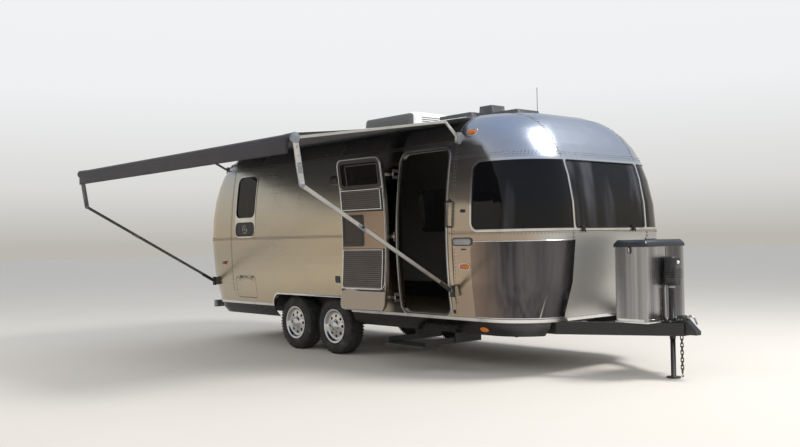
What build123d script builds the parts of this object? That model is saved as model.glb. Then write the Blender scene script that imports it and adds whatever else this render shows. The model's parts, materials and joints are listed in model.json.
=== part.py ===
from build123d import *
import os
from math import asin, cos, degrees, radians, sin, sqrt

# Travel caravan with a riveted, rounded aluminium body on two axles, its awning set up.
# Frame, in millimetres: the origin is the middle of the towing ball in the coupler, +X points
# forwards along the tongue, +Y to the left side and +Z up. The door side is -Y.
# Heights are written as levels above the ground, which lies ball_level below the origin.

os.makedirs("parts", exist_ok=True)

# Where things stand
ball_level = 450.0
ground = -ball_level
axle_x = -4320.0
axle_pitch = 850.0

# Body shell
half_width = 1220.0
body_front = -915.0
body_rear = -7540.0
corner_radius = 555.0
sill_level = 550.0
wall = 50.0
side_middle = 1410.0
end_middle = 1450.0
# Each profile climbs from its widest level as arcs: radius, then the slope of the normal where it
# ends. One more arc, worked out below, closes each at the roof.
side_arcs = ((5200.0, 10.9), (450.0, 84.0))
front_arcs = ((2300.0, 16.9), (1156.0, 50.0), (350.0, 74.0))
rear_arcs = ((3000.0, 9.5), (1180.0, 57.0), (300.0, 80.0))
# Sections of the end caps, as shares of the height from the sill to the roof
section_shares = (0.0, 0.18, 0.39, 0.54, 0.66, 0.75, 0.82, 0.88, 0.925, 0.957, 0.98, 0.992, 0.998)

# Seams between the panels
front_seam = -2070.0
rear_seam = body_rear + 950.0
roof_seam_level = 2445.0
panel_gap = 0.4
fit_gap = 0.3
swing_gap = 6.0
beyond = 200.0

# Trim that stands proud of the skin, and glass that lies below it
trim_proud = 6.0
frame_band = 26.0
glass_sunk = 5.0
glass_thick = 8.0

# Doorway and door
door_rear = -2930.0
door_front = -2170.0
door_sill_level = 600.0
door_top_level = 2375.0
door_corner = 90.0
door_frame_band = 39.0
leaf_thick = 28.0
screen_gap = 0.4
screen_thick = 14.0
hinge_stand_off = 22.0
hinge_from_jamb = 50.0
door_open_angle = 176.0
door_window_margin = 110.0
door_window_low = 1560.0
door_window_high = 2180.0
door_window_corner = 60.0
screen_side = 34.0
# Open fields between the screen door's rails: low level, high level
screen_fields = ((860.0, 1305.0), (1775.0, 2000.0), (2040.0, 2305.0))
screen_corner = 12.0
slat_pitch = 36.0
slat_high = 9.0
slat_thick = 5.0
mesh_thick = 2.0
screen_lap = 8.0
# Straps and barrels of the door's hinges, and its outer handle
hinge_levels = (760.0, 1450.0, 2160.0)
hinge_radius = 9.0
hinge_pin_radius = 4.5
hinge_pin_gap = 0.25
hinge_eye = 34.0
hinge_gap = 1.0
strap_thick = 8.0
strap_reach = 96.0
door_handle_low = 1250.0
door_handle_high = 1430.0
door_handle_width = 80.0
door_handle_out = 30.0

# Windows
front_window_half = 600.0
front_window_low = 1500.0
front_window_high = 2200.0
mullion = 32.0
corner_window_rear = -1780.0
window_corner = 85.0
front_window_corner = 20.0
# Side windows: side (-1 is the door side), rear x, front x, low level, high level
side_windows = (
    (-1, rear_seam + 130.0, rear_seam + 600.0, 1770.0, 2330.0),
    (1, rear_seam + 130.0, rear_seam + 600.0, 1770.0, 2330.0),
    (1, -5150.0, -4250.0, 1520.0, 2140.0),
    (1, -3500.0, -2700.0, 1600.0, 2140.0),
)
rear_window_half = 520.0
rear_window_low = 1540.0
rear_window_high = 2080.0

# Stone guards on the lower front corners, and the bright rail along the sill
guard_rear = -1800.0
guard_inner_y = 613.0
guard_low = 590.0
guard_high = 1385.0
guard_corner = 110.0
rail_low_level = 553.0
rail_high_level = 584.0
arch_band = 22.0

# Lower storage hatch behind the wheels on the door side
hatch_rear = rear_seam + 70.0
hatch_front = rear_seam + 590.0
hatch_low = 640.0
hatch_high = 935.0
hatch_thick = 25.0
hatch_corner = 40.0
hatch_hinge_rise = 8.0
hatch_hinge_out = 14.0
hatch_rod_radius = 4.0
hatch_rod_gap = 0.25
hatch_eye_radius = 7.0
hatch_leaf_thick = 3.0
hatch_leaf_drop = 34.0
# Eyes of the lid on the hinge rod: distance from the opening's rear edge, length
hatch_eyes = ((90.0, 60.0), (370.0, 60.0))
hatch_lugs = (60.0, 250.0, 460.0)
hatch_lug_width = 12.0
# Dark panel below the rear side window, in one frame with it
side_panel_low = 1510.0
side_panel_high = 1690.0
side_panel_corner = 70.0
panel_proud = 4.0

# Chassis and underside
rail_half_track = 640.0
rail_width = 50.0
rail_depth = 125.0
rail_top_level = sill_level - fit_gap
chassis_front = -1130.0
chassis_rear_margin = 260.0
tongue_meet = -60.0
tongue_half = 62.0
cross_pitch = 700.0
cross_width = 40.0
cross_rise = 25.0
tray_cross_x = -760.0
tray_cross_half = 424.0
floor_thick = 50.0
skirt_low_level = 405.0
skirt_tuck = 85.0
skirt_thick = 12.0
bumper_reach = 130.0
bumper_half = 1000.0
bumper_depth = 100.0

# Wheels
tyre_radius = 349.0
tyre_width = 224.0
wheel_y = 1000.0
bead_radius = 196.0
rim_lip_radius = 212.0
hub_radius = 62.0
hub_deep = 96.0
spindle_radius = 22.0
spindle_gap = 0.25
wheel_holes = 8
hole_radius = 20.0
hole_circle = 126.0
arch_low = 300.0
arch_level = 715.0
arch_reach = 430.0
arch_corner = 150.0
well_top_level = 800.0
well_inner_y = 850.0
well_thick = 6.0

# Jack on the tongue
jack_x = -224.0
jack_tube_radius = 30.0
jack_leg_radius = 25.0
jack_running_gap = 0.5
jack_tube_low = 385.0
jack_head_low = 915.0
jack_head_high = 1200.0
jack_leg_top = 590.0
jack_foot_radius = 70.0
jack_foot_thick = 12.0
jack_head_ahead = 14.0
jack_head_length = 124.0
jack_head_width = 150.0
jack_plate_length = 110.0
jack_plate_width = 250.0
jack_plate_thick = 12.0
# Safety chain that hangs from the tongue
chain_x = -112.0
chain_y = -20.0
chain_low = 12.0
chain_radius = 13.0

# Gas-bottle cover
cover_rear = -655.0
cover_front = -282.0
cover_half = 340.0
cover_high = 1300.0
cover_wall = 8.0
cover_corner = 22.0
tray_thick = 12.0
cover_low = rail_top_level + tray_thick + fit_gap
lid_over = 12.0
lid_edge_high = 1328.0
lid_high = 1368.0
bottle_radius = 152.0
bottle_half_pitch = 165.0
bottle_height = 520.0
bottle_shoulder = 90.0

# Entry step that slides out from under the doorway
step_half = 310.0
step_depth = 250.0
step_out_y = -1500.0
step_level = 285.0
step_thick = 28.0
runner_width = 12.0
runner_depth = 60.0
runner_inner_y = -900.0
housing_high = rail_top_level - rail_depth - fit_gap
housing_plate = 14.0
housing_bar = 20.0
housing_outer_y = -1035.0

# Stabiliser legs under the four corners
stand_xs = (-1700.0, body_rear + 540.0)
stand_arm = 440.0
stand_width = 60.0
stand_deep = 36.0
stand_hinge_level = 385.0
stand_side_gap = 1.0
stand_bracket = 12.0
stand_pin_radius = 9.0
stand_pin_gap = 0.25
stand_foot_length = 90.0
stand_foot_width = 110.0
stand_foot_thick = 8.0

# Awning
awning_rear = -7080.0
awning_front = -2063.0
roller_y = -3200.0
roller_level = 2365.0
roller_radius = 42.0
fabric_thick = 4.0
awning_rail_y = -890.0
arm_foot_level = 860.0
arm_elbow_y = -3130.0
arm_elbow_level = 1930.0
arm_width = 34.0
arm_thick = 22.0
rafter_kink_y = -1290.0
rafter_drop = 24.0
rafter_width = 26.0
# Sets of awning arms: place along the body, then distance out of the rafter's foot and its level
arm_sets = ((awning_rear, -960.0, 2490.0), (awning_front, -1105.0, 2490.0))
arm_bracket_half = 24.0
arm_bracket_high = 110.0
arm_ring_radius = roller_radius + 8.0
arm_head_width = 52.0

# Rooftop pieces
cooler_x = -4120.0
cooler_length = 1050.0
cooler_width = 720.0
cooler_height = 235.0
# Vents and boxes on the roof: x, y, length, width, height
vents = (
    (-2110.0, -120.0, 400.0, 400.0, 55.0),
    (-2420.0, -180.0, 230.0, 260.0, 150.0),
    (-2860.0, -140.0, 560.0, 460.0, 95.0),
    (rear_seam + 290.0, 0.0, 420.0, 420.0, 85.0),
)
vent_sunk = 50.0
vent_corner = 30.0
vent_taper = 5.0
antenna_x = -1890.0
antenna_high = 3110.0
antenna_base_radius = 22.0
antenna_base_high = 25.0
antenna_whip_radius = 3.5

# Lamps and fittings on the skin. Each row: place along the body, level, length, height, corner.
# Those of the first two tables are on both sides.
amber_markers = ((-1903.0, 1120.0, 64.0, 40.0, 18.0), (-1885.0, 2535.0, 86.0, 46.0, 20.0))
red_markers = (
    (rear_seam - 210.0, 1130.0, 64.0, 40.0, 18.0),
    (rear_seam - 225.0, 2535.0, 86.0, 46.0, 20.0),
)
door_side_fittings = (
    (-4104.0, 940.0, 84.0, 72.0, 10.0),
    (-1903.0, 1300.0, 62.0, 14.0, 5.0),
    (-1903.0, 1380.0, 150.0, 62.0, 29.0),
    (-1908.0, 1702.0, 66.0, 34.0, 14.0),
    (-2100.0, 640.0, 46.0, 46.0, 20.0),
)
porch_lamp_row = (-4100.0, 2160.0, 100.0, 80.0, 12.0)
lamp_proud = 18.0
fitting_proud = 7.0
tail_lamp_y = 930.0
tail_lamp_width = 120.0
tail_lamp_low = 700.0
tail_lamp_high = 1120.0

# Cabinets
counter_level = 1550.0
galley_rear = -3850.0
galley_front = -2350.0
galley_face_y = 520.0
locker_low = 2200.0
locker_high = 2480.0
locker_face_y = 760.0
lounge_rear = -2000.0
lounge_level = 960.0
lounge_gap_half = 330.0
bed_front = rear_seam - 110.0
bed_level = 1080.0
cushion_thick = 110.0


def up(level):
    """Height in this frame of a level above the ground."""
    return ground + level


def arc_centres(arcs, middle):
    """Centre of each arc of a profile, as distance in from its widest plane and as a level."""
    centre_in, centre_level = arcs[0][0], middle
    centres = [(centre_in, centre_level)]
    for (radius, slope), (next_radius, _) in zip(arcs, arcs[1:]):
        centre_in -= (radius - next_radius) * cos(radians(slope))
        centre_level += (radius - next_radius) * sin(radians(slope))
        centres.append((centre_in, centre_level))
    return centres


def arc_end(arcs, middle):
    """End of a profile's last arc, as distance in and level."""
    centre_in, centre_level = arc_centres(arcs, middle)[-1]
    radius, slope = arcs[-1]
    return centre_in - radius * cos(radians(slope)), centre_level + radius * sin(radians(slope))


# The roof arc reaches from the shoulder to the middle plane, and the ends close at its height
shoulder_in, shoulder_level = arc_end(side_arcs, side_middle)
crown_radius = (half_width - shoulder_in) / cos(radians(side_arcs[-1][1]))
side_profile = side_arcs + ((crown_radius, 90.0),)
roof_level = arc_end(side_profile, side_middle)[1]


def closed_end(arcs):
    """End profile with its last arc added, level with the roof at its top."""
    end_level = arc_end(arcs, end_middle)[1]
    return arcs + (((roof_level - end_level) / (1.0 - sin(radians(arcs[-1][1]))), 90.0),)


front_profile = closed_end(front_arcs)
rear_profile = closed_end(rear_arcs)


def inset(profile, middle, level, depth):
    """Distance in from a profile's widest plane at a level, for the skin moved in by depth."""
    for (radius, slope), (centre_in, centre_level) in zip(profile, arc_centres(profile, middle)):
        reach = radius - depth
        if level <= centre_level + reach * sin(radians(slope)) or slope == 90.0:
            rise = min((level - centre_level) / reach, 1.0)
            return centre_in - reach * sqrt(1.0 - rise * rise)


def side_y(level, depth=0.0):
    """Distance of the side skin from the middle plane at a level."""
    return half_width - inset(side_profile, side_middle, level, depth)


def nose_x(level, depth=0.0):
    """Place of the front skin on the middle plane at a level."""
    return body_front - inset(front_profile, end_middle, level, depth)


def tail_x(level, depth=0.0):
    """Place of the rear skin on the middle plane at a level."""
    return body_rear + inset(rear_profile, end_middle, level, depth)


def roof_z(y, depth=0.0):
    """Height in this frame of the upper skin at a distance from the middle plane."""
    for (radius, slope), (centre_in, centre_level) in zip(side_profile, arc_centres(side_profile, side_middle)):
        reach = radius - depth
        if abs(y) >= half_width - (centre_in - reach * cos(radians(slope))) or slope == 90.0:
            across = centre_in - (half_width - abs(y))
            return up(centre_level + sqrt(reach * reach - across * across))


def middle_form(depth, x_low=rear_seam, x_high=front_seam):
    """Solid between the end caps that fills the body up to its skin moved inwards by depth."""
    centres = arc_centres(side_profile, side_middle)
    first_reach = side_profile[0][0] - depth
    slopes = [-degrees(asin((side_middle - sill_level) / first_reach))]
    slopes += [slope for radius, slope in side_profile]
    with BuildPart() as form:
        with BuildSketch(Plane.YZ.offset(x_low)):
            with BuildLine():
                for side in (-1, 1):
                    for index, (centre_in, centre_level) in enumerate(centres):
                        reach = side_profile[index][0] - depth
                        low, high = slopes[index], slopes[index + 1]
                        points = [
                            (
                                side * (half_width - centre_in + reach * cos(radians(slope))),
                                up(centre_level + reach * sin(radians(slope))),
                            )
                            for slope in (low, (low + high) / 2, high)
                        ]
                        ThreePointArc(*points)
                Line((-side_y(sill_level, depth), up(sill_level)), (side_y(sill_level, depth), up(sill_level)))
            make_face()
        extrude(amount=x_high - x_low)
    return form.part


def cap_form(end, depth, past=0.0):
    """Solid of an end cap (end is 1 at the front, -1 at the rear) up to its skin moved in by depth."""
    seam = (front_seam if end > 0 else rear_seam) - end * past
    with BuildPart() as form:
        for share in section_shares:
            level = sill_level + share * (roof_level - depth - sill_level)
            half = side_y(level, depth)
            tip = nose_x(level, depth) if end > 0 else tail_x(level, depth)
            turn = min(corner_radius - depth, 0.92 * half, 0.97 * abs(tip - seam))
            bend = turn * (1.0 - cos(radians(45.0)))
            with BuildSketch(Plane.XY.offset(up(level))):
                with BuildLine():
                    Line((seam, -half), (tip - end * turn, -half))
                    ThreePointArc((tip - end * turn, -half), (tip - end * bend, -half + bend), (tip, -half + turn))
                    Line((tip, -half + turn), (tip, half - turn))
                    ThreePointArc((tip, half - turn), (tip - end * bend, half - bend), (tip - end * turn, half))
                    Line((tip - end * turn, half), (seam, half))
                    Line((seam, half), (seam, -half))
                make_face()
        loft(ruled=True)
    return form.part


def block(x_ends, y_ends, z_ends):
    """Plain box between two values along each axis."""
    middle = [(min(ends) + max(ends)) / 2 for ends in (x_ends, y_ends, z_ends)]
    size = [max(ends) - min(ends) for ends in (x_ends, y_ends, z_ends)]
    with BuildPart() as form:
        with Locations(tuple(middle)):
            Box(*size)
    return form.part


def side_cutter(side, x_low, x_high, level_low, level_high, corner):
    """Rounded prism that passes through one side wall."""
    with BuildPart() as form:
        with BuildSketch(Plane.XZ):
            with Locations(((x_low + x_high) / 2, up((level_low + level_high) / 2))):
                RectangleRounded(x_high - x_low, level_high - level_low, corner)
        extrude(amount=-side * 2 * half_width)
    return form.part


def end_cutter(end, half, level_low, level_high, corner):
    """Rounded prism along X that passes through an end cap."""
    start = body_front - 700.0 if end > 0 else body_rear - beyond
    with BuildPart() as form:
        with BuildSketch(Plane.YZ.offset(start)):
            with Locations((0, up((level_low + level_high) / 2))):
                RectangleRounded(2 * half, level_high - level_low, corner)
        extrude(amount=700.0 + beyond)
    return form.part


def corner_cutter(side, rear, inner_y, level_low, level_high, corner, low_corner=True):
    """Prism round a front corner of the body, its rear edges rounded."""
    with BuildPart() as form:
        with BuildSketch(Plane.XZ.offset(-side * inner_y)):
            with Locations(((rear + body_front + beyond) / 2, up((level_low + level_high) / 2))):
                Rectangle(body_front + beyond - rear, level_high - level_low)
        extrude(amount=-side * (half_width + beyond - inner_y))
        rear_edges = form.edges().filter_by(Axis.Y).group_by(Axis.X)[0].sort_by(Axis.Z)
        fillet(rear_edges if low_corner else rear_edges[-1], corner)
    return form.part


def corner_window(side, grow=0.0):
    """Outline of a wrap-round corner window, grown by a margin."""
    return corner_cutter(side, corner_window_rear - grow, front_window_half + mullion - grow,
                         front_window_low - grow, front_window_high + grow, window_corner + grow)


def front_window(grow=0.0):
    """Outline of the centre window in the front, grown by a margin."""
    return end_cutter(1, front_window_half + grow, front_window_low - grow, front_window_high + grow,
                      front_window_corner)


def rear_window(grow=0.0):
    """Outline of the rear window, grown by a margin."""
    return end_cutter(-1, rear_window_half + grow, rear_window_low - grow, rear_window_high + grow,
                      window_corner + grow)


def side_window(row, grow=0.0):
    """Outline of a side window of the table, grown by a margin."""
    side, x_low, x_high, low, high = row
    return side_cutter(side, x_low - grow, x_high + grow, low - grow, high + grow, window_corner + grow)


def side_panel(grow):
    """Outline of the dark panel below the rear side window, grown by a margin."""
    side, x_low, x_high = side_windows[0][:3]
    return side_cutter(side, x_low - grow, x_high + grow, side_panel_low - grow, side_panel_high + grow,
                       side_panel_corner)


def side_outline(side, row):
    """Outline on one side of a lamp or fitting of the tables."""
    x, level, length, height, corner = row
    return side_cutter(side, x - length / 2, x + length / 2, level - height / 2, level + height / 2, corner)


def cut_out(skin, outlines):
    """Separate pieces of a skin, given as its outside and inside forms, one in each outline."""
    outside, inside = skin
    pieces = []
    for outline in outlines:
        with BuildPart() as piece:
            add(outside)
            add(outline, mode=Mode.INTERSECT)
            add(inside, mode=Mode.SUBTRACT)
        pieces.append(piece.part)
    return pieces


def plan_prism(depth, level_low, level_high):
    """Prism inside the body: its plan at the lower level, drawn in by a depth."""
    half = side_y(level_low, depth)
    nose = nose_x(level_low, depth)
    tail = tail_x(level_low, depth)
    with BuildPart() as form:
        with BuildSketch(Plane.XY.offset(up(level_low))):
            with Locations(((nose + tail) / 2, 0)):
                RectangleRounded(nose - tail, 2 * half, corner_radius - depth)
        extrude(amount=level_high - level_low)
    return form.part


def layer(outside, inside):
    """What one solid holds beyond another."""
    with BuildPart() as form:
        add(outside)
        add(inside, mode=Mode.SUBTRACT)
    return form.part


def finish(solid, name):
    """Label a finished piece and write it."""
    solid.label = name
    export_step(solid, f"parts/{name}.step")


# Outlines that walls, frames and panes share
doorway = side_cutter(-1, door_rear, door_front, door_sill_level, door_top_level, door_corner)
hatchway = side_cutter(-1, hatch_rear, hatch_front, hatch_low, hatch_high, hatch_corner)
well_ends = (axle_x - axle_pitch - arch_reach, axle_x + arch_reach)
arches = {side: side_cutter(side, *well_ends, arch_low, arch_level, arch_corner) for side in (-1, 1)}

# Side walls and the roof between the end caps
shell = layer(middle_form(0.0), middle_form(wall))
for side, name in ((-1, "right_wall"), (1, "left_wall")):
    wall_front = front_seam if side > 0 else door_rear - panel_gap
    with BuildPart() as side_wall:
        add(shell)
        add(
            block((rear_seam, wall_front), (0, side * (half_width + beyond)), (up(0), up(roof_seam_level))),
            mode=Mode.INTERSECT,
        )
        add(arches[side], mode=Mode.SUBTRACT)
        if side < 0:
            add(hatchway, mode=Mode.SUBTRACT)
        for row in side_windows:
            if row[0] == side:
                add(side_window(row), mode=Mode.SUBTRACT)
    finish(side_wall.part, name)

# Wall panel that the doorway is cut in
with BuildPart() as doorway_panel:
    add(shell)
    add(block((door_rear, front_seam), (0, -half_width - beyond), (up(0), up(roof_seam_level))), mode=Mode.INTERSECT)
    add(doorway, mode=Mode.SUBTRACT)
finish(doorway_panel.part, "doorway_panel")

with BuildPart() as roof_panel:
    add(shell)
    add(
        block(
            (rear_seam, front_seam),
            (-half_width - beyond, half_width + beyond),
            (up(roof_seam_level + panel_gap), up(roof_level + beyond)),
        ),
        mode=Mode.INTERSECT,
    )
finish(roof_panel.part, "roof_panel")

# End caps
front_outer = cap_form(1, 0.0, -panel_gap)
rear_outer = cap_form(-1, 0.0, -panel_gap)
with BuildPart() as front_cap:
    add(front_outer)
    add(cap_form(1, wall), mode=Mode.SUBTRACT)
    add(front_window(), mode=Mode.SUBTRACT)
    for side in (-1, 1):
        add(corner_window(side), mode=Mode.SUBTRACT)
finish(front_cap.part, "front_cap")

with BuildPart() as rear_cap:
    add(rear_outer)
    add(cap_form(-1, wall), mode=Mode.SUBTRACT)
    add(rear_window(), mode=Mode.SUBTRACT)
finish(rear_cap.part, "rear_cap")

# Glass, a little below the skin
front_glass_skin = (cap_form(1, glass_sunk), cap_form(1, glass_sunk + glass_thick))
rear_glass_skin = (cap_form(-1, glass_sunk), cap_form(-1, glass_sunk + glass_thick))
side_glass_skin = (middle_form(glass_sunk), middle_form(glass_sunk + glass_thick))
with BuildPart() as front_glass:
    for piece in cut_out(front_glass_skin, [front_window(-fit_gap), corner_window(-1, -fit_gap),
                                            corner_window(1, -fit_gap)]):
        add(piece)
finish(front_glass.part, "front_glass")
with BuildPart() as side_glass:
    for piece in cut_out(side_glass_skin, [side_window(row, -fit_gap) for row in side_windows]):
        add(piece)
    for piece in cut_out(rear_glass_skin, [rear_window(-fit_gap)]):
        add(piece)
finish(side_glass.part, "side_glass")

# Bright trim on the skin: window frames, doorway frame, stone guards and the sill rail
front_trim = (cap_form(1, -trim_proud, -panel_gap), cap_form(1, -fit_gap))
rear_trim = (cap_form(-1, -trim_proud, -panel_gap), cap_form(-1, -fit_gap))
side_trim = (middle_form(-trim_proud), middle_form(-fit_gap))
with BuildPart() as window_frames:
    for piece in cut_out(front_trim, [front_window(frame_band), corner_window(-1, frame_band),
                                      corner_window(1, frame_band)]):
        add(piece)
    add(front_window(), mode=Mode.SUBTRACT)
    for side in (-1, 1):
        add(corner_window(side), mode=Mode.SUBTRACT)
    for row in side_windows[1:]:
        for piece in cut_out(side_trim, [side_window(row, frame_band)]):
            add(layer(piece, side_window(row)))
    side, x_low, x_high, low, high = side_windows[0]
    shared = side_cutter(side, x_low - frame_band, x_high + frame_band, side_panel_low - frame_band,
                         high + frame_band, window_corner + frame_band)
    for piece in cut_out(side_trim, [shared]):
        add(layer(layer(piece, side_window(side_windows[0])), side_panel(0.0)))
    for piece in cut_out(rear_trim, [rear_window(frame_band)]):
        add(layer(piece, rear_window()))
finish(window_frames.part, "window_frames")

with BuildPart() as door_frame:
    for piece in cut_out(side_trim, [
        side_cutter(-1, door_rear - door_frame_band, door_front + door_frame_band, rail_high_level + fit_gap,
                    door_top_level + door_frame_band, door_corner + door_frame_band),
    ]):
        add(layer(piece, doorway))
finish(door_frame.part, "door_frame")

with BuildPart() as stone_guards:
    for piece in cut_out(front_trim, [corner_cutter(side, guard_rear, guard_inner_y, guard_low, guard_high,
                                                    guard_corner, False) for side in (-1, 1)]):
        add(piece)
finish(stone_guards.part, "stone_guards")

rail_levels = (up(rail_low_level), up(rail_high_level))
across = (-half_width - beyond, half_width + beyond)
with BuildPart() as sill_rail:
    for piece in cut_out(front_trim, [block((front_seam, body_front + beyond), across, rail_levels)]):
        add(piece)
    for piece in cut_out(rear_trim, [block((body_rear - beyond, rear_seam), across, rail_levels)]):
        add(piece)
    for piece in cut_out(side_trim, [block((rear_seam, front_seam), across, rail_levels)]):
        add(piece)
    for piece in cut_out(side_trim, [
        side_cutter(side, well_ends[0] - arch_band, well_ends[1] + arch_band, arch_low, arch_level + arch_band,
                    arch_corner + arch_band)
        for side in (-1, 1)
    ]):
        add(layer(piece, block(well_ends, across, (up(0), up(rail_low_level)))))
    add(block((well_ends[0] - beyond, well_ends[1] + beyond), across, (up(0), up(rail_low_level))),
        mode=Mode.SUBTRACT)
    for side in (-1, 1):
        add(arches[side], mode=Mode.SUBTRACT)
finish(sill_rail.part, "sill_rail")

# Door, made in its closed place and swung open about the hinge line beside the rear jamb
hinge_x = door_rear - hinge_from_jamb
hinge_y = -(half_width + hinge_stand_off)
hinge_line = Axis((hinge_x, hinge_y, 0), (0, 0, 1))


def door_outline(margin):
    """Outline of the door leaf, drawn in by a margin from the doorway."""
    return side_cutter(-1, door_rear + margin, door_front - margin, door_sill_level + margin,
                       door_top_level - margin, door_corner - margin)


def door_window(grow=0.0):
    """Outline of the window in the door leaf, grown by a margin."""
    return side_cutter(-1, door_rear + door_window_margin - grow, door_front - door_window_margin + grow,
                       door_window_low - grow, door_window_high + grow, door_window_corner)


with BuildPart() as leaf_closed:
    add(layer(middle_form(0.0), middle_form(leaf_thick)))
    add(door_outline(swing_gap), mode=Mode.INTERSECT)
    add(door_window(), mode=Mode.SUBTRACT)
with BuildPart() as door_fittings:
    for level in hinge_levels:
        add(block((hinge_x, hinge_x + strap_reach), (hinge_y - strap_thick / 2, hinge_y + strap_thick / 2),
                  (up(level - hinge_eye / 2), up(level + hinge_eye / 2))))
        add(block((hinge_x + strap_reach - strap_thick, hinge_x + strap_reach), (hinge_y, wall - half_width),
                  (up(level - hinge_eye / 2), up(level + hinge_eye / 2))))
    add(block((door_front - door_window_margin, door_front - door_window_margin + door_handle_width),
              (-side_y(door_handle_low) - door_handle_out, wall - half_width),
              (up(door_handle_low), up(door_handle_high))))
    add(middle_form(0.0), mode=Mode.SUBTRACT)
    for level in hinge_levels:
        with Locations((hinge_x, hinge_y, up(level))):
            Cylinder(hinge_radius, hinge_eye)
            Cylinder(hinge_pin_radius + hinge_pin_gap, hinge_eye, mode=Mode.SUBTRACT)
with BuildPart() as door_leaf:
    add(leaf_closed.part.rotate(hinge_line, -door_open_angle))
    add(door_fittings.part.rotate(hinge_line, -door_open_angle))
finish(door_leaf.part, "door_leaf")

with BuildPart() as door_hinges:
    for level in hinge_levels:
        for end in (-1, 1):
            near = level + end * (hinge_eye / 2 + hinge_gap)
            far = near + end * hinge_eye
            add(block((hinge_x - hinge_radius, hinge_x + hinge_radius), (hinge_y, wall - half_width),
                      (up(near), up(far))))
    add(side_trim[1], mode=Mode.SUBTRACT)
    for level in hinge_levels:
        for end in (-1, 1):
            with Locations((hinge_x, hinge_y, up(level + end * (hinge_eye + hinge_gap)))):
                Cylinder(hinge_radius, hinge_eye)
        with Locations((hinge_x, hinge_y, up(level))):
            Cylinder(hinge_pin_radius, 2 * hinge_eye)
finish(door_hinges.part, "door_hinges")

with BuildPart() as door_glass:
    for piece in cut_out(side_glass_skin, [door_window(-fit_gap)]):
        add(piece.rotate(hinge_line, -door_open_angle))
finish(door_glass.part, "door_glass")

# Screen door latched to the leaf, with open fields between its rails
screen_depth = leaf_thick + screen_gap
screen_ends = (door_rear + swing_gap + screen_side, door_front - swing_gap - screen_side)
lapped_ends = (screen_ends[0] - screen_lap, screen_ends[1] + screen_lap)
with BuildPart() as screen_closed:
    add(layer(middle_form(screen_depth), middle_form(screen_depth + screen_thick)))
    add(door_outline(swing_gap), mode=Mode.INTERSECT)
    for low, high in screen_fields:
        add(side_cutter(-1, *screen_ends, low, high, screen_corner), mode=Mode.SUBTRACT)
# Slats of the louvre in the lowest field, and the pierced sheet in the one above it
slat_low, slat_top = screen_fields[0]
with BuildPart() as screen_slats:
    add(layer(middle_form(screen_depth + mesh_thick), middle_form(screen_depth + mesh_thick + slat_thick)))
    with BuildPart(mode=Mode.PRIVATE) as slat_blocks:
        for index in range(int((slat_top - slat_low) / slat_pitch)):
            level = slat_low + (index + 0.5) * slat_pitch
            add(block(lapped_ends, (-half_width, 0), (up(level), up(level + slat_high))))
    add(slat_blocks.part, mode=Mode.INTERSECT)
with BuildPart() as screen_sheet:
    add(layer(middle_form(screen_depth + mesh_thick), middle_form(screen_depth + 2 * mesh_thick)))
    sheet_low, sheet_high = screen_fields[1]
    add(block(lapped_ends, (-half_width, 0), (up(sheet_low - screen_lap), up(sheet_high + screen_lap))),
        mode=Mode.INTERSECT)
with BuildPart() as screen_door:
    for solid in (screen_closed, screen_slats, screen_sheet):
        add(solid.part.rotate(hinge_line, -door_open_angle))
finish(screen_door.part, "screen_door")

# Storage hatch lid in the lower side wall, hung from its top edge
hatch_axis_level = hatch_high + hatch_hinge_rise
hatch_axis_y = -side_y(hatch_axis_level) - hatch_hinge_out
with BuildPart() as hatch_lid:
    add(layer(middle_form(0.0), middle_form(hatch_thick)))
    add(
        side_cutter(-1, hatch_rear + swing_gap, hatch_front - swing_gap, hatch_low + swing_gap,
                    hatch_high - swing_gap, hatch_corner - swing_gap),
        mode=Mode.INTERSECT,
    )
    for start, length in hatch_eyes:
        with BuildPart(mode=Mode.PRIVATE) as eye:
            add(block((hatch_rear + start, hatch_rear + start + length),
                      (hatch_axis_y - hatch_eye_radius, hatch_axis_y - hatch_eye_radius + hatch_leaf_thick),
                      (up(hatch_axis_level), up(hatch_axis_level - hatch_leaf_drop))))
            add(block((hatch_rear + start, hatch_rear + start + length), (hatch_axis_y - hatch_eye_radius, -1000.0),
                      (up(hatch_axis_level - hatch_leaf_drop), up(hatch_axis_level - hatch_leaf_drop + 10.0))))
            add(middle_form(0.0), mode=Mode.SUBTRACT)
            with Locations(Location((hatch_rear + start + length / 2, hatch_axis_y, up(hatch_axis_level)), (0, 90, 0))):
                Cylinder(hatch_eye_radius, length)
                Cylinder(hatch_rod_radius + hatch_rod_gap, length, mode=Mode.SUBTRACT)
        add(eye.part)
finish(hatch_lid.part, "hatch_lid")

# Rod that the hatch lid turns on, held off the wall by lugs
with BuildPart() as hatch_hinge:
    for start in hatch_lugs:
        add(block((hatch_rear + start, hatch_rear + start + hatch_lug_width),
                  (hatch_axis_y - hatch_rod_radius, -1000.0),
                  (up(hatch_axis_level - hatch_rod_radius), up(hatch_axis_level + hatch_rod_radius))))
    add(side_trim[1], mode=Mode.SUBTRACT)
    rod_middle = hatch_rear + (hatch_lugs[0] + hatch_lugs[-1] + hatch_lug_width) / 2
    with Locations(Location((rod_middle, hatch_axis_y, up(hatch_axis_level)), (0, 90, 0))):
        Cylinder(hatch_rod_radius, hatch_lugs[-1] + hatch_lug_width - hatch_lugs[0])
finish(hatch_hinge.part, "hatch_hinge")

# Floor inside the walls, left open over the wheels
inside = wall + 1.0
with BuildPart() as floor:
    add(plan_prism(inside, sill_level, sill_level + floor_thick))
    for side in (-1, 1):
        add(block(well_ends, (side * well_inner_y, side * half_width), (up(0), up(roof_level))), mode=Mode.SUBTRACT)
finish(floor.part, "floor")

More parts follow.
